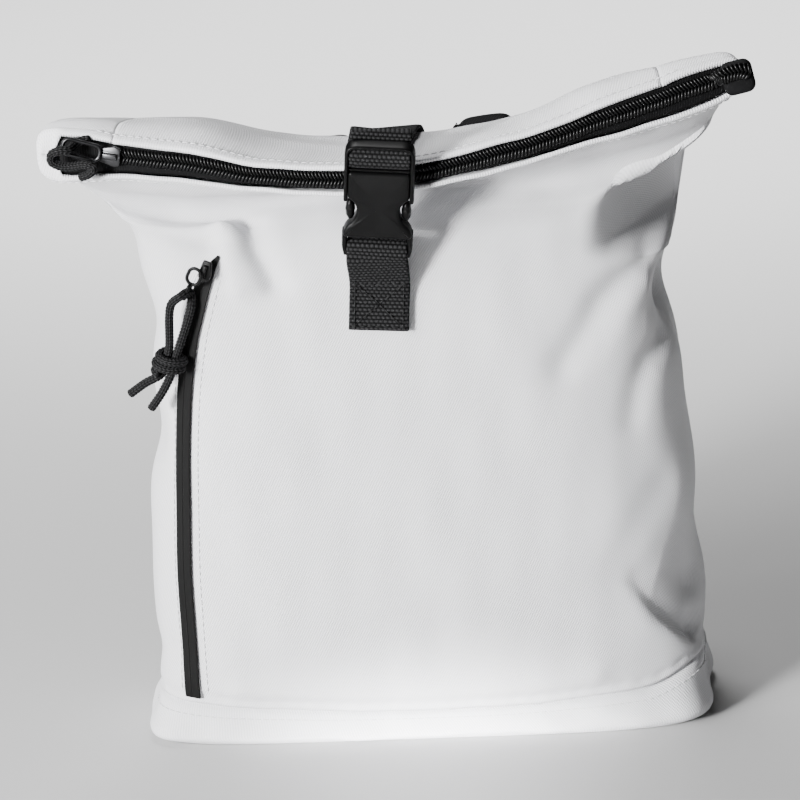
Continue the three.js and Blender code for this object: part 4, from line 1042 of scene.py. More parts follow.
def base_dish():
    """The base panel: tucked under the front's hem at its seam, round at the foot and flat below."""
    count = 301
    us = np.linspace(0, 1, count)
    heights = np.linspace(BASE_SEAM - 1.0, 0.0, 15)
    rings = [base(us, np.array([BASE_SEAM]), inwards)[0] + Z_AXIS * up for up, inwards in BASE_TUCK]
    rings += list(base(us, heights))
    rings[-1][:, 2] = 0.0
    middle = X_AXIS * BASE_SECTIONS[-1, -1]
    floor = [middle + (rings[-1] - middle) * share for share in (0.9, 0.6, 0.3)]
    inside = [middle + Z_AXIS * CLOTH + (rings[-1] - middle) * share for share in (0.3, 0.6, 0.95)]
    inside += [base(us, np.array([at]), CLOTH)[0] for at in (4.0, 9.0)]
    inside.append(base(us, np.array([BASE_SEAM]), CLOTH + 1.2)[0])
    rows = rings + floor
    outside_rows = len(rows)
    points = np.concatenate([*rows, *inside])
    faces = grid_faces(outside_rows, count)
    faces += grid_faces(len(inside), count, outside_rows * count)
    last = (outside_rows - 1) * count
    faces.append(tuple(range(last, last + count - 1)))
    faces.append(tuple(range(last + count, last + 2 * count - 1))[::-1])
    top = (outside_rows + len(inside) - 1) * count
    faces += [(top + j, top + j + 1, j + 1, j) for j in range(count - 1)]
    around = np.broadcast_to(us * girth(BASE_SEAM), (len(points) // count, count))
    steps = [np.linalg.norm(b - a, axis=1).mean() for a, b in zip(rows + inside, rows[1:] + inside)]
    run = np.concatenate([[0], np.cumsum(steps)])
    uv = np.stack([around, np.broadcast_to(run[:, None], around.shape)], -1)
    flat = slice(len(rings) * count, (outside_rows + 3) * count)
    uv = uv.reshape(-1, 2).copy()
    uv[flat] = points[flat, :2]
    return welded(make("base_cloth", points, faces, WHITE_CLOTH, uv))


dress(base_dish(), "white_cloth", "base_panel")


# The zip in the mouth

ZIP_END = 0.23
SLIDER_AT = -0.189
SLIDER_MOVE = np.array([-2.0, -0.2, 1.8])  # from its place in the solids, besides the hem's own rise
SLIDER_RISE = 1.4  # the hem's own rise at the slider


def mouth_seat(w, share=0.5):
    low, high = mouth_points([w - 0.004, w, w + 0.004])
    line = low + (high - low) * share
    return seat(line[1], line[2] - line[0], high[1] - low[1])


# The tape's grid, the step to its hidden face and how far it bulges out
TAPE = {"columns": 181, "rows": 13, "step": 4, "bulge": 0.5}


def mouth_tape():
    ws = np.linspace(-ZIP_END, ZIP_END + 0.006, TAPE["columns"])
    low, high = mouth_points(ws)
    shares = np.linspace(0, 1, TAPE["rows"])
    face = low[None] + (high - low)[None] * shares[:, None, None]
    right = np.gradient(low + (high - low) * 0.5, axis=0)
    out = unit(np.cross(right, high - low))
    bulge = TAPE["bulge"] * np.sin(shares * math.pi)[:, None, None]
    front = face + out[None] * bulge
    step = TAPE["step"]
    back = face[::step, ::step] - out[None, ::step]
    up = shares[:, None] * np.linalg.norm(high - low, axis=1)[None]
    flat = np.stack([np.broadcast_to(run_along(low), up.shape), up], -1)
    return wall("mouth_zip_tape", front, back, BLACK_TAPE, flat, step)


dress(mouth_tape(), "zip_tape", "top_zip_tape")


def path_piece(name, paths):
    """Polylines as one mesh of edges, each point with its outward direction: [(points, outs), ...]."""
    points, outs, edges = [], [], []
    for line, out in paths:
        first = sum(len(p) for p in points)
        points.append(line)
        outs.append(np.broadcast_to(out, line.shape))
        edges += [(first + i, first + i + 1) for i in range(len(line) - 1)]
    mesh = bpy.data.meshes.new(name)
    mesh.from_pydata((np.concatenate(points) * MM).tolist(), edges, [])
    layer = mesh.attributes.new("out", "FLOAT_VECTOR", "POINT")
    layer.data.foreach_set("vector", np.concatenate(outs).astype(np.float32).ravel())
    return placed(name, mesh)


def bar_shape(name, long, radius, arch, sides=8, steps=7, axis=0):
    """A short rounded bar, bowed outwards, as the shape that a row repeats."""
    t = np.linspace(-1, 1, steps)
    line = np.zeros((steps, 3))
    line[:, axis] = t * long / 2
    line[:, 2] = arch * (1 - t**2)

    def tapered(_, run):
        return np.sqrt(1 - 0.55 * (2 * run / run.max() - 1) ** 2)

    return tube(name, line, radius, sides, BLACK_THREAD, shape=tapered)


def row_of(name, paths, shape, pitch, material, across=0.0, turn=0.0, turn_spread=0.0):
    """Copies of a shape along paths, as one plain mesh."""
    piece = path_piece(name, paths)
    angles = {"turn": math.radians(turn), "turn_spread": math.radians(turn_spread)}
    run_tree(piece, ROW, shape=shape, pitch=pitch * MM, finish=material, across=across * MM, **angles)
    piece.data.shade_smooth()
    return piece


def join(name, pieces):
    """Several meshes as one object."""
    bm = bmesh.new()
    for piece in pieces:
        bm.from_mesh(piece.data)
    mesh = bpy.data.meshes.new(name)
    bm.to_mesh(mesh)
    bm.free()
    for material in pieces[0].data.materials:
        mesh.materials.append(material)
    for piece in pieces:
        bpy.data.objects.remove(piece)
    mesh.shade_smooth()
    return placed(name, mesh)


COIL = {"pitch": 1.45, "row": 1.5, "tooth": 3.8, "radius": 0.62, "arch": 0.8, "turn": 27.0}
# Its way: from and to shares of a turn, the share up the tape, how far out, and the step along it
COIL_WAY = {"from": SLIDER_AT + 0.0055, "to": 0.226, "up": 0.6, "out": GAP + 0.9, "step": 0.5}


def coil_path(shift):
    """The coil's middle line with its outward directions, from the slider to the tape's folded end."""
    spots = [mouth_seat(w, COIL_WAY["up"]) for w in np.linspace(COIL_WAY["from"], COIL_WAY["to"], 90)]
    line = np.array([lifted(s, COIL_WAY["out"])["place"] for s in spots])
    out = np.array([s["out"] for s in spots])
    low, high = (np.array(c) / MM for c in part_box("top_zip_end"))
    end = [
        (low[0] + 1.0, low[1] - 0.5, high[2] - 6.4), (low[0] + 5.0, low[1] - 0.9, high[2] - 5.0),
        (low[0] + 9.0, low[1] - 0.9, high[2] - 4.6), (high[0] - 3.0, low[1] - 0.8, high[2] - 5.2),
    ]
    whole = curve_through(np.concatenate([line, end]), COIL_WAY["step"])
    outs = np.concatenate([out, np.tile(FORWARD, (len(end), 1))])
    at = np.linspace(0, len(outs) - 1, len(whole))
    outs = unit(np.column_stack([np.interp(at, np.arange(len(outs)), outs[:, i]) for i in range(3)]))
    start = int(round(shift / COIL_WAY["step"]))
    return whole[start:], outs[start:]


def mouth_coil():
    tooth = bar_shape("coil_tooth", COIL["tooth"], COIL["radius"], COIL["arch"], axis=1)
    rows = [
        row_of(
            f"coil_row_{side}", [coil_path(0.0 if side > 0 else COIL["pitch"] / 2)], tooth, COIL["pitch"],
            BLACK_COIL, across=side * COIL["row"], turn=side * COIL["turn"],
        )
        for side in (1, -1)
    ]
    bpy.data.objects.remove(tooth)
    return join("mouth_zip_coil", rows)


dress(mouth_coil(), "zip_coil", "top_zip_coil")
dress(softened("mouth_zip_end", "top_zip_end", BLACK_TAPE, 1.5), "zip_tape", "top_zip_end")
mouth_slider = softened("mouth_slider", "top_zip_slider", GUN_METAL, 0.45)
mouth_slider = moved_by(mouth_slider, SLIDER_MOVE + Z_AXIS * SLIDER_RISE)
dress(mouth_slider, "gun_metal", "top_zip_slider")


WIRE_STEP = 0.4


def ring_line(long, wide, bend):
    """The middle line of a wire bent to a long ring, in the plane right and up, starting at x = 0."""
    half = wide / 2
    arcs = [(long - bend, half - bend, 0, 90), (bend, half - bend, 90, 180)]
    arcs += [(bend, bend - half, 180, 270), (long - bend, bend - half, 270, 360)]
    points = []
    for x, y, start, end in arcs:
        for a in np.radians(np.linspace(start, end, 9)):
            points.append((x + bend * math.cos(a), y + bend * math.sin(a), 0.0))
    closed = np.array(points + points[:1])
    return even(closed, WIRE_STEP)[:-1]


slider_seat = mouth_seat(SLIDER_AT)
puller_place = lifted(slider_seat, out=4.2, right=-2.9, up=0.6)["place"] + SLIDER_MOVE
puller_seat = {"place": puller_place, "right": X_AXIS, "up": Z_AXIS, "out": FORWARD}
PULLER = {"long": 17.0, "wide": 8.2, "bend": 2.6, "wire": 1.6, "turn": 163.0}


def mouth_puller():
    inset = PULLER["wire"] / 2
    ring = ring_line(PULLER["long"] - 2 * inset, PULLER["wide"] - 2 * inset, PULLER["bend"])
    line = on_seat(puller_seat, ring + X_AXIS * inset, PULLER["turn"])
    return tube("mouth_puller", line, inset, 14, GUN_METAL, closed=True)


dress(mouth_puller(), "gun_metal", "top_zip_puller")


# Braided cords

BRAID = {"columns": 10, "pitch": 1.5, "depth": 0.36, "crown": 1.2}
CORD_STEP = 0.25


def braid(angle, run):
    """Strands of a braid as V-shaped bumps in columns round the cord."""
    column = angle * BRAID["columns"] / (2 * math.pi)
    inside = column - np.floor(column) - 0.5
    lean = np.where(np.floor(column) % 2 > 0, inside, -inside)
    strand = np.abs(np.sin(math.pi * (run / BRAID["pitch"] + lean * 0.8)))
    ridge = 1 - (2 * np.abs(inside)) ** 3
    return BRAID["crown"] - BRAID["depth"] + BRAID["depth"] * strand**0.6 * ridge


def braided_cord(name, line):
    return tube(name, line, CORD_DIAMETER / 2, 40, BLACK_CORD, shape=braid, caps=0.25)


eye_of_top = lifted(puller_seat, out=0, right=-11.9, up=3.6)
TOP_CORD_WAY = [  # (right, up, out) from that eye
    (7, 2.4, -2.9), (4, 2, -3.2), (1.2, 0.8, -2.8), (0, 0, 0), (-1.2, -0.2, 3.2), (-4.8, -0.1, 4),
    (-8.2, -1.8, 2.8), (-8.6, -5.2, 1.8), (-5, -7.4, 1.4), (0.4, -7.4, 2), (5.6, -6.8, 3.2),
    (8.7, -8.2, 3.6), (6.4, -10.8, 3.2), (2.6, -12.2, 2.2),
]
top_cord_line = curve_through(
    [lifted(eye_of_top, out, right, up)["place"] for right, up, out in TOP_CORD_WAY], CORD_STEP
)
mouth_cord = dress(braided_cord("mouth_cord", top_cord_line), "black_cord", "top_cord")


# The pocket's zip

pocket_out = 2.5 * GAP + POCKET_ZIP_THICK / 2
POCKET_FINER = 9  # points to a span of the table, and to the mean that eases the strip's bends
POCKET_PROFILE = np.array([
    (-0.5, -0.5), (-0.5, 0.25), (-0.47, 0.5), (-0.40, 0.46), (-0.03, 0.5), (-0.01, 0.35), (0.01, 0.35),
    (0.03, 0.5), (0.40, 0.46), (0.47, 0.5), (0.5, 0.25), (0.5, -0.5),
])


def pocket_stations():
    """The strip's places, widths and directions, as in the solids but closer together."""
    way = np.array(POCKET_ZIP_WAY, float)
    spans = [np.linspace(a, b, POCKET_FINER)[:-1] for a, b in zip(way[:-1, 0], way[1:, 0])]
    along = np.concatenate([*spans, way[-1:, 0]])
    around = np.interp(-along, -way[:, 0], way[:, 1])
    reach = POCKET_FINER // 2
    around[reach:-reach] = np.convolve(around, np.ones(POCKET_FINER) / POCKET_FINER, "valid")
    width = np.interp(-along, -way[:, 0], way[:, 2])
    places = np.array([on_front(r, a, pocket_out) for r, a in zip(around, along)])
    out = np.array([out_at(r, a) for r, a in zip(around, along)])
    across = unit(np.cross(out, tangents(places)))
    return places, across, unit(np.cross(tangents(places), across)), width, around, along


POCKET = pocket_stations()


def pocket_strip():
    """A flat coated zip: two tapes that meet in a groove down the middle, and a low rim at each edge."""
    places, across, out, width, _, _ = POCKET
    aside, up = POCKET_PROFILE.T
    wide = aside[None, :, None] * (across * width[:, None])[:, None, :]
    high = up[None, :, None] * (out * POCKET_ZIP_THICK)[:, None, :]
    points = places[:, None, :] + wide + high
    faces = capped_faces(len(places), len(aside))
    uv = np.stack(np.broadcast_arrays(aside[None, :] * width.max(), run_along(places)[:, None]), -1)
    return make("pocket_zip", points, faces, POCKET_TAPE, uv, sharp_angle=40)


dress(pocket_strip(), "zip_tape", "side_zip_tape")


def table_station(index):
    """One row of the pocket zip's table as a place and the direction across it."""
    rows = [POCKET_ZIP_WAY[max(index - 1, 0)], POCKET_ZIP_WAY[index], POCKET_ZIP_WAY[index + 1]]
    before, here, after = (on_front(r, a, pocket_out) for a, r, _ in rows)
    out = out_at(POCKET_ZIP_WAY[index][1], POCKET_ZIP_WAY[index][0])
    return here, unit(np.cross(out, unit(after - before)))


zip_top, zip_across = table_station(2)
zip_way = table_station(3)[0] - zip_top
POCKET_SLIDER = {"solid": 0.42, "here": 0.70}  # how far up the strip, as shares of the way
pocket_seat = seat(zip_top - zip_way * POCKET_SLIDER["here"], zip_way, zip_across)
pocket_slider = moved_by(
    softened("pocket_slider", "side_zip_slider", BLACK_PLASTIC, 0.4),
    zip_way * (POCKET_SLIDER["solid"] - POCKET_SLIDER["here"]),
)
dress(pocket_slider, "black_plastic", "side_zip_slider")
pocket_slider_seat = lifted(pocket_seat, POCKET_ZIP_THICK / 2 + GAP + 0.8)
pocket_puller_seat = lifted(pocket_slider_seat, out=4.3, right=2, up=-1.9)
# The ring on the slider and the loop through it are given as (long, wide, bend)
POCKET_PULLER = {"turn": -10.0, "eye": 11.8, "wire": 0.75, "ring": (8.6, 7.2, 2.7), "loop": (8.6, 5.0, 1.6)}
LOOP_AT = 7.2  # where the loop starts along the ring


def pocket_puller():
    """A wide wire ring on the slider, and a narrow flat loop through it that the cord is tied to."""
    wire = POCKET_PULLER["wire"]
    pieces = []
    for key, start, axes in (("ring", 0.0, [0, 1, 2]), ("loop", LOOP_AT, [0, 2, 1])):
        long, wide, bend = POCKET_PULLER[key]
        bent = ring_line(long - 2 * wire, wide - 2 * wire, bend) + X_AXIS * (start + wire)
        line = on_seat(pocket_puller_seat, bent[:, axes], POCKET_PULLER["turn"])
        pieces.append(tube(f"puller_{key}", line, wire, 12, BLACK_PLASTIC, closed=True))
    return join("pocket_puller", pieces)


dress(pocket_puller(), "black_plastic", "side_zip_puller")

puller_turn = math.radians(POCKET_PULLER["turn"])
pocket_eye = lifted(
    pocket_puller_seat, 0,
    POCKET_PULLER["eye"] * math.cos(puller_turn), POCKET_PULLER["eye"] * math.sin(puller_turn),
)
KNOT = {"wide": 14.5, "deep": 11.5, "long": 11.0, "strands": 3.7}
# Its turns, the angle they start at, how far they narrow at the ends, how far they slant and at which angle
KNOT_TURNS = {"count": 2.35, "start": 2.2, "narrow": 0.16, "slant": 1.5, "slant_at": 0.7}
KNOT_PLACE = np.array([-99.6, -43.9, 174.0])
knot_seat = seat(KNOT_PLACE, np.array([0.94, 0, -0.35]), np.array([0.35, 0, 0.94]))


def strand(side, height):
    return lifted(knot_seat, 0, side * KNOT["strands"] / 2, height)["place"]


side_cord_line = curve_through(
    [
        (-117.5, -42, 160.5), (-110.5, -43, 165.4), strand(-1, -5.5), strand(-1, 0), strand(-1, 5.5),
        lifted(pocket_eye, 3, 6.5, -4.6)["place"], lifted(pocket_eye, 3.6, 1.6, -1.4)["place"],
        pocket_eye["place"], lifted(pocket_eye, -2.8, 1.2, 0.8)["place"],
        lifted(pocket_eye, -2, 6.2, 2.4)["place"], strand(1, 5.5), strand(1, 0), strand(1, -5.5),
        (-103.6, -44, 161.4), (-109, -43, 154),
    ],
    CORD_STEP,
)


def pocket_knot():
    """The knot: the cord laid round its own two strands in slanted turns."""
    t = np.linspace(0, 1, 150)
    angle = 2 * math.pi * KNOT_TURNS["count"] * t + KNOT_TURNS["start"]
    swell = 1 - KNOT_TURNS["narrow"] * (2 * t - 1) ** 2
    x = (KNOT["wide"] - CORD_DIAMETER) / 2 * swell * np.cos(angle)
    z = (KNOT["deep"] - CORD_DIAMETER) / 2 * swell * np.sin(angle)
    slant = KNOT_TURNS["slant"] * np.cos(angle + KNOT_TURNS["slant_at"])
    y = (KNOT["long"] - CORD_DIAMETER) * (t - 0.5) + slant
    line = even(on_seat(knot_seat, np.column_stack([x, y, z])), CORD_STEP)
    return braided_cord("pocket_knot", line)


pocket_cord = dress(braided_cord("pocket_cord", side_cord_line), "black_cord", "side_cord")
knot = dress(pocket_knot(), "black_cord", "side_cord_knot")


# The buckle and its webbing

BUCKLE_FOOT = np.array([-9.2, -55.2, 222.0])
BUCKLE = {"lean": 15.0, "askew": -6.0, "thick": 7.2}
BAR = {"high": 2.6, "thick": 3.4}
PLUG = {
    "high": 50.4, "slot_low": 39.0, "slot_high": 48.4,
    "bar_low": 42.6, "bar_high": 44.8, "bar_thick": 3.0,
}


def buckle_turn():
    tip, spin = math.radians(90 + BUCKLE["lean"]), math.radians(BUCKLE["askew"])
    return np.array(Matrix.Rotation(tip, 3, "X") @ Matrix.Rotation(spin, 3, "Z"))


BUCKLE_TURN = buckle_turn()
BUCKLE_RIGHT = BUCKLE_TURN @ X_AXIS


def on_buckle(y, z):
    return BUCKLE_TURN @ np.array([0.0, y, z]) + BUCKLE_FOOT


MOULD = {"step": 0.45, "eased": 5}  # the step round a plate's outline, and how often its corners are eased
RAIL = {"step": 0.5, "eased": 8, "square": 0.65, "end": 0.7, "end_size": 0.55}
PRONG = {"at": (11.4, 19.8), "out": 0.2, "size": (2.0, 5.0, 2.5), "ridges": 11, "ridge": 0.05}


def moulded(half, low, high, edge, dome):
    """A moulded plate from the right half of its outline, with rounded edges and a domed face."""
    outline = np.array([(x, y, 0) for x, y in half + [(-x, y) for x, y in half[::-1]] + half[:1]], float)
    ring = even(outline, MOULD["step"])[:-1]
    for _ in range(MOULD["eased"]):
        ring = ring * 0.5 + (np.roll(ring, 1, 0) + np.roll(ring, -1, 0)) * 0.25
    way = unit(np.roll(ring, -1, 0) - np.roll(ring, 1, 0))
    inward = np.cross(Z_AXIS, way)
    turns = np.radians(np.linspace(0, 90, 5))
    rise, run = [1 - math.cos(a) for a in turns], [1 - math.sin(a) for a in turns]
    rings = [ring + inward * edge * b + Z_AXIS * (low + edge * a) for a, b in zip(rise, run)]
    rings += [ring + inward * edge * a + Z_AXIS * (high - edge * b) for a, b in zip(rise, run)]
    middle = ring.mean(0)
    face = rings[-1] - Z_AXIS * high
    for share in (0.75, 0.5, 0.25, 0.02):
        top = middle + (face - middle) * share
        rings.append(top + Z_AXIS * (high + dome * (1 - share**2)))
    points = np.concatenate(rings) @ BUCKLE_TURN.T + BUCKLE_FOOT
    return make("moulded_plate", points, capped_faces(len(rings), len(ring)), BLACK_PLASTIC)


def rail(way, half_wide, half_deep):
    """A rail with a rounded section along a line in the buckle's plane."""
    line = even(np.array([(x, y, 0) for x, y in way], float), RAIL["step"])
    for _ in range(RAIL["eased"]):
        line[1:-1] = line[1:-1] * 0.5 + (line[2:] + line[:-2]) * 0.25
    along = tangents(line)
    end = half_wide * RAIL["end"]
    line = np.vstack([line[:1] - along[:1] * end, line, line[-1:] + along[-1:] * end])
    along = np.vstack([along[:1], along, along[-1:]])
    size = np.ones(len(line))
    size[[0, -1]] = RAIL["end_size"]
    side = np.cross(along, Z_AXIS)
    angle = np.linspace(0, 2 * math.pi, 20, endpoint=False)
    wide = half_wide * np.sign(np.cos(angle)) * np.abs(np.cos(angle)) ** RAIL["square"]
    deep = half_deep * np.sign(np.sin(angle)) * np.abs(np.sin(angle)) ** RAIL["square"]
    ring = side[:, None] * wide[None, :, None] + Z_AXIS * deep[None, :, None]
    points = (line[:, None] + ring * size[:, None, None]) @ BUCKLE_TURN.T + BUCKLE_FOOT
    return make("moulded_rail", points, capped_faces(len(line), len(angle)), BLACK_PLASTIC)


def button(side):
    """A prong's ridged pad, seen in the socket's notch at the right (1) or left (-1)."""
    a, b = np.meshgrid(np.linspace(0, 2 * math.pi, 28, endpoint=False), np.linspace(-1.5, 1.5, 21))
    ridge = 1 + PRONG["ridge"] * np.cos(b * PRONG["ridges"])
    ball = np.stack([np.cos(b) * np.cos(a) * ridge, np.sin(b), np.cos(b) * np.sin(a) * ridge], -1)
    middle = np.array([side * PRONG["at"][0], PRONG["at"][1], PRONG["out"]])
    points = (ball * np.array(PRONG["size"]) + middle) @ BUCKLE_TURN.T + BUCKLE_FOOT
    return make("prong_pad", points, capped_faces(*a.shape), BLACK_PLASTIC)


SOCKET_HALF = [
    (0, 7.4), (13.6, 7.4), (14.2, 8.8), (13.8, 10.6), (12.5, 12.8), (10.6, 14.6), (9.2, 16.8), (8.6, 19.6),
    (9.1, 22.4), (10.6, 24.6), (12.4, 25.7), (12.7, 27.4), (12.7, 37.2), (12, 38.1), (0, 38.1),
]
FOOT_RAIL = [(13.4, 9.5), (13.4, 2.4), (12.6, -1.2)]
PRONG_RAIL = [(10.6, 22.5), (10, 37)]
HALF_BAR = 13
FRAME_RAIL = [
    (13.4, 24.6), (13.4, 46.8), (12.4, 48.8), (10.2, 49.5),
    (-10.2, 49.5), (-12.4, 48.8), (-13.4, 46.8), (-13.4, 24.6),
]


def bar(y, half_wide, half_deep):
    """A rail straight across the buckle."""
    return rail([(-HALF_BAR, y), (HALF_BAR, y)], half_wide, half_deep)


def buckle_socket():
    half = BUCKLE["thick"] / 2
    parts = [moulded(SOCKET_HALF, -half, half, edge=1.3, dome=0.45)]
    parts += [
        rail([(side * x, y) for x, y in FOOT_RAIL], half_wide=1.15, half_deep=2.7) for side in (1, -1)
    ]
    parts.append(bar(BAR["high"] / 2, BAR["high"] / 2, BAR["thick"] / 2))
    return join("buckle_socket_body", parts)


def buckle_plug():
    parts = [rail(FRAME_RAIL, half_wide=0.95, half_deep=BUCKLE["thick"] / 2)]
    middle = (PLUG["bar_low"] + PLUG["bar_high"]) / 2
    parts.append(bar(middle, half_wide=1.1, half_deep=PLUG["bar_thick"] / 2))
    parts.append(bar(PLUG["slot_low"] - 0.5, half_wide=0.7, half_deep=2.2))
    parts += [button(side) for side in (1, -1)]
    parts += [
        rail([(side * x, y) for x, y in PRONG_RAIL], half_wide=1.2, half_deep=1.3) for side in (1, -1)
    ]
    return join("buckle_plug_body", parts)


dress(buckle_socket(), "black_plastic", "buckle_socket")
dress(buckle_plug(), "black_plastic", "buckle_plug")


STRIP_STEP = 0.32
LONG_STEP = 0.36  # for the long strap over the roll
RIB = {"pitch": 1.6, "bump": 1.9, "depth": 0.42}
# Webbing's section: columns over its width, how square it is, its thickness at the edge as a share, and the
# room left for the ribs
STRIP = {"columns": 66, "square": 14, "edge": 0.14, "room": 0.12}


def webbing(name, points, across_at, step=STRIP_STEP):
    """Ribbed webbing along a smooth curve through points: a closed strip with soft edges."""
    line = curve_through(points, step)
    wide, out = stations(line, across_at)
    share = np.linspace(-1, 1, STRIP["columns"])
    soft = (1 - np.abs(share) ** STRIP["square"]) ** 0.5 * (1 - STRIP["edge"]) + STRIP["edge"]
    across = np.concatenate([share, share[::-1]]) * WEBBING["width"] / 2
    lift = np.concatenate([soft, -soft[::-1]]) * (WEBBING["thick"] / 2 - STRIP["room"])
    points = line[:, None] + wide[:, None] * across[None, :, None] + out[:, None] * lift[None, :, None]
    rows, count = points.shape[:2]
    run = np.arange(rows) * length_of(line) / (rows - 1)
    along = np.broadcast_to(run[:, None], (rows, count))
    facing = np.sign(lift)[None, :, None] * out[:, None]
    flat = np.stack([np.broadcast_to(across, (rows, count)), along], -1)
    values = {
        "along": along.ravel(), "across": np.broadcast_to(across, (rows, count)).ravel(),
        "out": facing.reshape(-1, 3),
    }
    piece = make(name, points, capped_faces(rows, count), BLACK_WEBBING, flat, values)
    sizes = {"rib_pitch": RIB["pitch"], "bump_pitch": RIB["bump"], "depth": RIB["depth"] * MM}
    run_tree(piece, RIBS, finish=BLACK_WEBBING, **sizes)
    for key in values:
        piece.data.attributes.remove(piece.data.attributes[key])
    piece.data.shade_smooth()
    return piece


FIRST_LAYER = WEBBING["thick"] / 2 + GAP + 0.35
SECOND_LAYER = FIRST_LAYER + WEBBING["thick"] + GAP
TAB = {"low": 182.0, "x": -11.0, "lean": 0.08, "clear": 0.6}
bar_out = BAR["thick"] / 2 + TAB["clear"] + WEBBING["thick"] / 2


def tab_front(along, out):
    return on_front(TAB["x"] + (along - TAB["low"]) * TAB["lean"], along, out)


TAB_WAY = [
    tab_front(182, SECOND_LAYER), tab_front(189, SECOND_LAYER), tab_front(196, SECOND_LAYER),
    tab_front(203, SECOND_LAYER + 2.2), on_buckle(-3, bar_out), on_buckle(0.5, bar_out),
    on_buckle(3.3, bar_out * 0.84), on_buckle(BAR["high"] + TAB["clear"] + WEBBING["thick"] / 2 + 0.6, 0),
    on_buckle(3.3, -bar_out * 0.84), on_buckle(0.5, -bar_out), on_buckle(-3, -bar_out),
    tab_front(203, FIRST_LAYER + 1), tab_front(196, FIRST_LAYER), tab_front(189, FIRST_LAYER),
    tab_front(182, FIRST_LAYER),
]
dress(webbing("tab_webbing", TAB_WAY, lambda p: BUCKLE_RIGHT), "black_webbing", "front_tab")

TOP_X = -3.6
ROLL_CLEAR = 0.6
ROLL_RIGHT = np.array([1.0, 0.0, 0.045])
STRAP_TURNS = (50, 60)  # how far in front the strap turns from the roll's slope to the buckle's


def roll(along, out):
    return on_back(TOP_X, along, out + ROLL_CLEAR)


def strap_across(place):
    share = smoothstep(-place[1], *STRAP_TURNS)
    return unit(ROLL_RIGHT * (1 - share) + BUCKLE_RIGHT * share)


behind = -BUCKLE["thick"] / 2 - GAP - 0.2 - WEBBING["thick"] / 2
bar_middle = (PLUG["bar_low"] + PLUG["bar_high"]) / 2
ladder_out = PLUG["bar_thick"] / 2 + GAP + 0.15 + WEBBING["thick"] / 2
under_roll = behind - WEBBING["thick"] - GAP - 0.4
STRAP_WAY = [
    roll(266, FIRST_LAYER), roll(273, FIRST_LAYER), roll(280, FIRST_LAYER), roll(292, FIRST_LAYER),
    roll(302, FIRST_LAYER + 0.1),
    on_buckle(PLUG["high"] + 0.3, under_roll - 0.6), on_buckle(PLUG["high"] - 3.5, under_roll - 0.2),
    on_buckle(PLUG["bar_low"] + 0.6, under_roll + 1), on_buckle(PLUG["slot_low"] + 1.2, -2.2),
    on_buckle(PLUG["slot_low"] + 1.0, 0.6), on_buckle(PLUG["slot_low"] + 2.2, ladder_out * 0.92),
    on_buckle(bar_middle, ladder_out + 0.1), on_buckle(PLUG["slot_high"] - 2.0, ladder_out * 0.9),
    on_buckle(PLUG["slot_high"] - 0.9, 0.5), on_buckle(PLUG["slot_high"] - 1.0, -2.2),
    on_buckle(PLUG["slot_high"] - 1, behind - 0.3), on_buckle(PLUG["high"], behind - 0.5),
    on_buckle(PLUG["high"] + 2.6, behind - 1.2),
    roll(302, SECOND_LAYER + 0.5), roll(292, SECOND_LAYER), roll(280, SECOND_LAYER), roll(268, SECOND_LAYER),
    roll(258, SECOND_LAYER - 0.6), roll(248, FIRST_LAYER + 0.2), roll(238, FIRST_LAYER),
    roll(226, FIRST_LAYER), roll(210, FIRST_LAYER), roll(192, FIRST_LAYER), roll(176, FIRST_LAYER),
]
dress(webbing("strap_webbing", STRAP_WAY, strap_across, LONG_STEP), "black_webbing", "top_strap")


# The harness on the back

PAD_SEAM = [(43, 184, 3.0), (43, 196, PAD["thick"])]
PAD_WAY = [
    (43.5, 54.5, 218), (44, 58, 231), (44.5, 62, 238), (45, 67, 240), (46, 72.5, 234.5),
    (50, 78, 212), (54, 82, 182), (60, 82, 146), (65, 77.5, 116), (68, 74, 100),
]
WEB_WAY = [(72, 64, 66), (74.5, 56, 47)]
WEB_SEAM = [(76, 32), (77, 22)]
ADJUSTER = {"high": 13.0, "thick": 4.4}
ARCH_LEANS, ARCH_RISES = (215, 235), (215, 240)  # heights between which an arch leans and is raised
PAD_NEARS = (150, 215)  # heights between which a strap comes nearer to the middle
WEB_TURNS = (36, 70)  # heights between which the lower webbing turns to its seam
PAD_WIDENS = (185, 228)  # the strap is narrow from its seam over the arch and widens between these heights
# Its shares of width at the lower end and over the arch, its share of thickness at the ends, the lengths over
# which these change, and a slow swell along it
PAD_SHARES = {"end": 0.8, "arch": 0.6, "thin": 0.38, "swell": 0.03, "swell_run": 9.0}
PAD_RUNS = {"end": (14, 34), "thin_start": (-3, 12), "thin_end": (-3, 14)}
PAD_TUCK = 1.4  # the strap's end goes this far beyond its solid, into the adjuster
PAD_SEWN = slice(2, -3)  # the rows of a strap's line that its edge stitches follow
PAD_EDGE = (0.445, 0.18)  # where these stitches are, as shares of the width and thickness
PAD_PROFILE = [
    (-0.5, 0.0), (-0.49, 0.14), (-0.46, 0.18), (-0.425, 0.18), (-0.40, 0.16), (-0.36, 0.32), (-0.29, 0.44),
    (-0.18, 0.49), (0.0, 0.5),
]


def pad_profile():
    """A strap's section as shares of its width and thickness: a crowned middle between flat bound edges."""
    left = np.array(PAD_PROFILE)
    right = left[-2:0:-1] * (-1, 1)
    upper = np.concatenate([left, right, [(0.5, 0.0)]])
    lower = upper[-2:0:-1] * (1, -1)
    return np.concatenate([upper, lower])


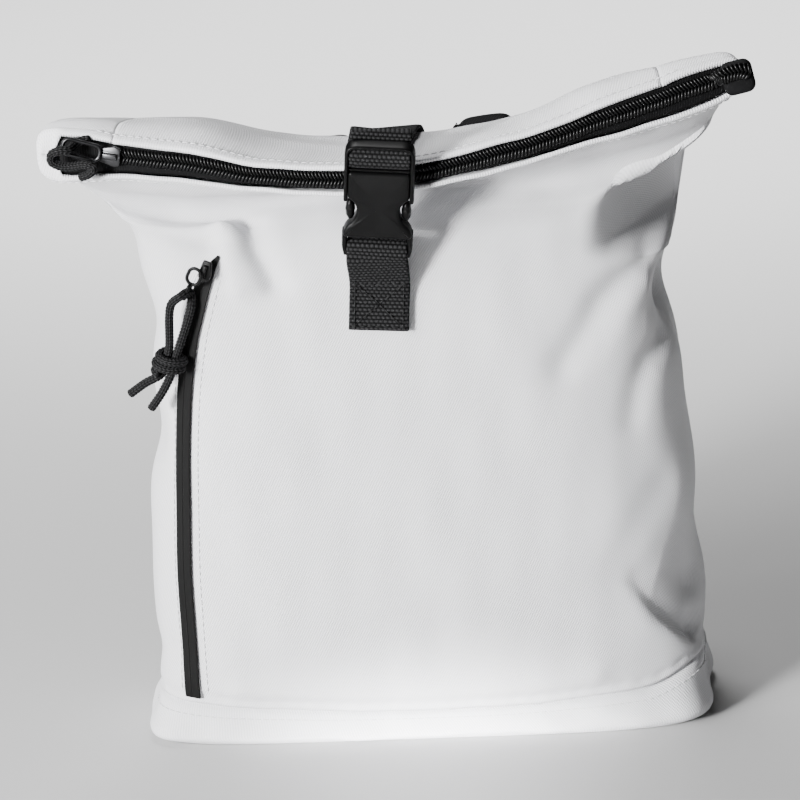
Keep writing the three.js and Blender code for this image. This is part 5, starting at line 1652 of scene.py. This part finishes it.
def padded_strap(name, line, lean):
    """A padded strap along a line, leaning sideways over its arch, and the paths of its edge stitches."""
    wide, out = stations(line, lambda p: X_AXIS + Z_AXIS * lean * smoothstep(p[2], *ARCH_LEANS))
    rows = len(line)
    run = np.arange(rows) * length_of(line) / (rows - 1)
    left = run[-1] - run
    from_seam = np.where(np.arange(rows) < np.argmax(line[:, 2]), 1, smoothstep(line[:, 2], *PAD_WIDENS))
    end, arch, thin = PAD_SHARES["end"], PAD_SHARES["arch"], PAD_SHARES["thin"]
    width = PAD["width"] * (end + (1 - end) * smoothstep(left, *PAD_RUNS["end"]))
    width = width * (1 - (1 - arch) * from_seam)
    ends = np.minimum(smoothstep(run, *PAD_RUNS["thin_start"]), smoothstep(left, *PAD_RUNS["thin_end"]))
    swell = 1 + PAD_SHARES["swell"] * np.sin(run / PAD_SHARES["swell_run"])
    thick = PAD["thick"] * (thin + (1 - thin) * ends) * swell
    profile = pad_profile()
    across = profile[None, :, 0] * width[:, None]
    lift = profile[None, :, 1] * thick[:, None]
    points = line[:, None] + wide[:, None] * across[..., None] + out[:, None] * lift[..., None]
    uv = np.stack([across, np.broadcast_to(run[:, None], across.shape)], -1)
    piece = make(name, points, capped_faces(rows, len(profile)), PAD_CLOTH, uv)
    smoother = piece.modifiers.new("soften", "SUBSURF")
    smoother.levels = smoother.render_levels = 1
    plain_mesh(piece)
    piece.data.shade_smooth()
    edges = []
    for side, face in ((1, 1), (1, -1), (-1, 1), (-1, -1)):
        aside, up = PAD_EDGE[0] * side * width, PAD_EDGE[1] * face * thick
        path = line + wide * aside[:, None] + out * up[:, None]
        edges.append((path[PAD_SEWN], (out * face)[PAD_SEWN]))
    return piece, edges


def harness(name, side, arch, inwards, lean):
    """One shoulder strap with its adjuster and lower webbing. Returns the strap's edge paths for stitches."""
    def free(point):
        x, y, z = point
        near = inwards * smoothstep(z, *PAD_NEARS)
        return np.array([side * (x - near), y, z + arch * smoothstep(z, *ARCH_RISES)])

    seam = [on_back(side * (x - inwards), along, thick / 2 + 2 * GAP) for x, along, thick in PAD_SEAM]
    coarse = curve_through([*seam, *map(free, PAD_WAY)], 12)
    line = curve_through([*seam, *map(free, PAD_WAY)], 3)
    line = np.vstack([line, line[-1] + unit(line[-1] - line[-2]) * PAD_TUCK])
    pad, edges = padded_strap(f"shoulder_pad_{name}", line, lean)
    dress(pad, "black_mesh", f"shoulder_strap_{name}")
    adjuster = softened(f"adjuster_{name}", f"strap_adjuster_{name}", BLACK_PLASTIC, 0.6)
    dress(adjuster, "black_plastic", f"strap_adjuster_{name}")
    way = unit(coarse[-1] - coarse[-2])
    plate = seat(coarse[-1] + way * GAP, X_AXIS - way * way[0], way)
    behind_plate = -(ADJUSTER["thick"] + WEBBING["thick"]) / 2 - GAP
    _, seam_end = WEB_SEAM
    edge = [on_back(side * (seam_end[0] + s * WEBBING["width"] / 2), seam_end[1], 0) for s in (1, -1)]
    seam_across = unit((edge[0] - edge[1]) * side)

    def across(place):
        share = smoothstep(place[2], *WEB_TURNS)
        return unit(seam_across * (1 - share) + X_AXIS * share)

    points = [lifted(plate, behind_plate, 0, up)["place"] for up in (2, ADJUSTER["high"])]
    points += [free(p) for p in WEB_WAY] + [on_back(side * x, along, FIRST_LAYER) for x, along in WEB_SEAM]
    lower = webbing(f"lower_webbing_{name}", points, across)
    dress(lower, "black_webbing", f"strap_webbing_{name}")
    return edges


strap_edges = harness("left", side=-1, arch=-4.5, inwards=7, lean=0.12)
strap_edges += harness("right", side=1, arch=2.0, inwards=13, lean=0.1)


# Stitches

STITCH = {"long": 2.3, "radius": 0.26, "arch": 0.18, "pitch": 3.3, "askew": 4.0}
SEAM_STITCHES_TO = 240.0
SEAM_STITCHES_ASIDE = 0.008  # as a share of a turn
HEM_STITCHES = {"up": 0.6, "front": 0.235, "back": 0.2}  # above the hem's step; shares of a turn to each side
BASE_STITCHES = 2.6  # below the base seam
POCKET_SEWN = slice(10, -2)  # the rows of the pocket's strip with stitches beside them
POCKET_STITCHES = (3.2, -2.0)  # right and left of the pocket's strip
SEWN_BOX = {"edge": 2.4, "tab": (2.0, 19.0), "strap": (178.0, 20.0)}  # clear edge; start and length along


def cloth_path(rounds_at, alongs, out):
    """A path on the cloth with its outward directions, through (round, along) points."""
    line = np.array([on_front(r, a, out) for r, a in zip(rounds_at, alongs)])
    return line, np.array([out_at(r, a) for r, a in zip(rounds_at, alongs)])


def hem_path(start, end, along, out):
    us = np.linspace(start, end, 220)
    line = cloth(us, along, -out)[0]
    return line, normals(SECTIONS, us, np.array([float(along)]))[0]


def base_path():
    us = np.linspace(0, 1, 401)
    at = np.array([BASE_SEAM - BASE_STITCHES])
    return base(us, at, -0.1)[0], normals(BASE_SECTIONS, us, at)[0]


def seam_path(share):
    ats = np.linspace(BASE_SEAM + 4, SEAM_STITCHES_TO, 140)
    us = np.array([share])
    return cloth(us, ats, -0.1)[:, 0], normals(SECTIONS, us, ats)[:, 0]


def white_stitches():
    shape = bar_shape("stitch", STITCH["long"], STITCH["radius"], STITCH["arch"], sides=6, steps=5)
    _, _, _, width, around, along = POCKET
    keep = POCKET_SEWN
    hem = MOUTH - HEM["deep"] + HEM_STITCHES["up"]
    front, back = HEM_STITCHES["front"], HEM_STITCHES["back"]
    paths = [
        cloth_path((around + np.sign(aside) * width / 2 + aside)[keep], along[keep], 0.05)
        for aside in POCKET_STITCHES
    ]
    paths += [
        hem_path(0.5 - front, 0.5 + front, hem, HEM["proud"]), hem_path(-back, back, hem, HEM["proud"]),
        base_path(),
    ]
    for side in (1, -1):
        for aside in (-SEAM_STITCHES_ASIDE, SEAM_STITCHES_ASIDE):
            paths.append(seam_path(0.5 + side * (SEAM_SHARE + aside)))
    row = row_of(
        "white_stitches", paths, shape, STITCH["pitch"], WHITE_THREAD, turn_spread=STITCH["askew"]
    )
    bpy.data.objects.remove(shape)
    return row


def box_cross(corner):
    """A sewn box with a cross in it, from a function of (share across, share along)."""
    ways = [[(-1, 0), (1, 0), (1, 1), (-1, 1), (-1, 0)], [(-1, 0), (1, 1)], [(1, 0), (-1, 1)]]
    paths = []
    for way in ways:
        for start, end in zip(way, way[1:]):
            t = np.linspace(0, 1, 12)[:, None]
            flat = np.array(start) * (1 - t) + np.array(end) * t
            found = [corner(x, y) for x, y in flat]
            paths.append((np.array([p for p, _ in found]), np.array([o for _, o in found])))
    return paths


def black_stitches():
    shape = bar_shape("stitch", STITCH["long"], STITCH["radius"] * 1.15, STITCH["arch"], sides=6, steps=5)
    reach = WEBBING["width"] / 2 - SEWN_BOX["edge"]
    line = curve_through(TAB_WAY, STRIP_STEP)
    wide, inward = stations(line, lambda p: BUCKLE_RIGHT)

    def tab_corner(x, y):
        start, long = SEWN_BOX["tab"]
        at = int(round((start + y * long) / STRIP_STEP))
        lift = WEBBING["thick"] / 2 + RIB["depth"] * 0.6
        return line[at] + wide[at] * x * reach - inward[at] * lift, -inward[at]

    def strap_corner(x, y):
        start, long = SEWN_BOX["strap"]
        along = start + y * long
        u = np.array([-TOP_X / girth(along)])
        out = normals(SECTIONS, u, np.array([along]))[0, 0]
        return roll(along, FIRST_LAYER + WEBBING["thick"] / 2 + 0.1) + ROLL_RIGHT * x * reach, out

    paths = box_cross(tab_corner) + box_cross(strap_corner) + strap_edges
    row = row_of(
        "black_stitches", paths, shape, STITCH["pitch"] * 0.9, BLACK_THREAD, turn_spread=STITCH["askew"]
    )
    bpy.data.objects.remove(shape)
    return row


dress(white_stitches(), "white_cloth")
dress(black_stitches(), "black_webbing")
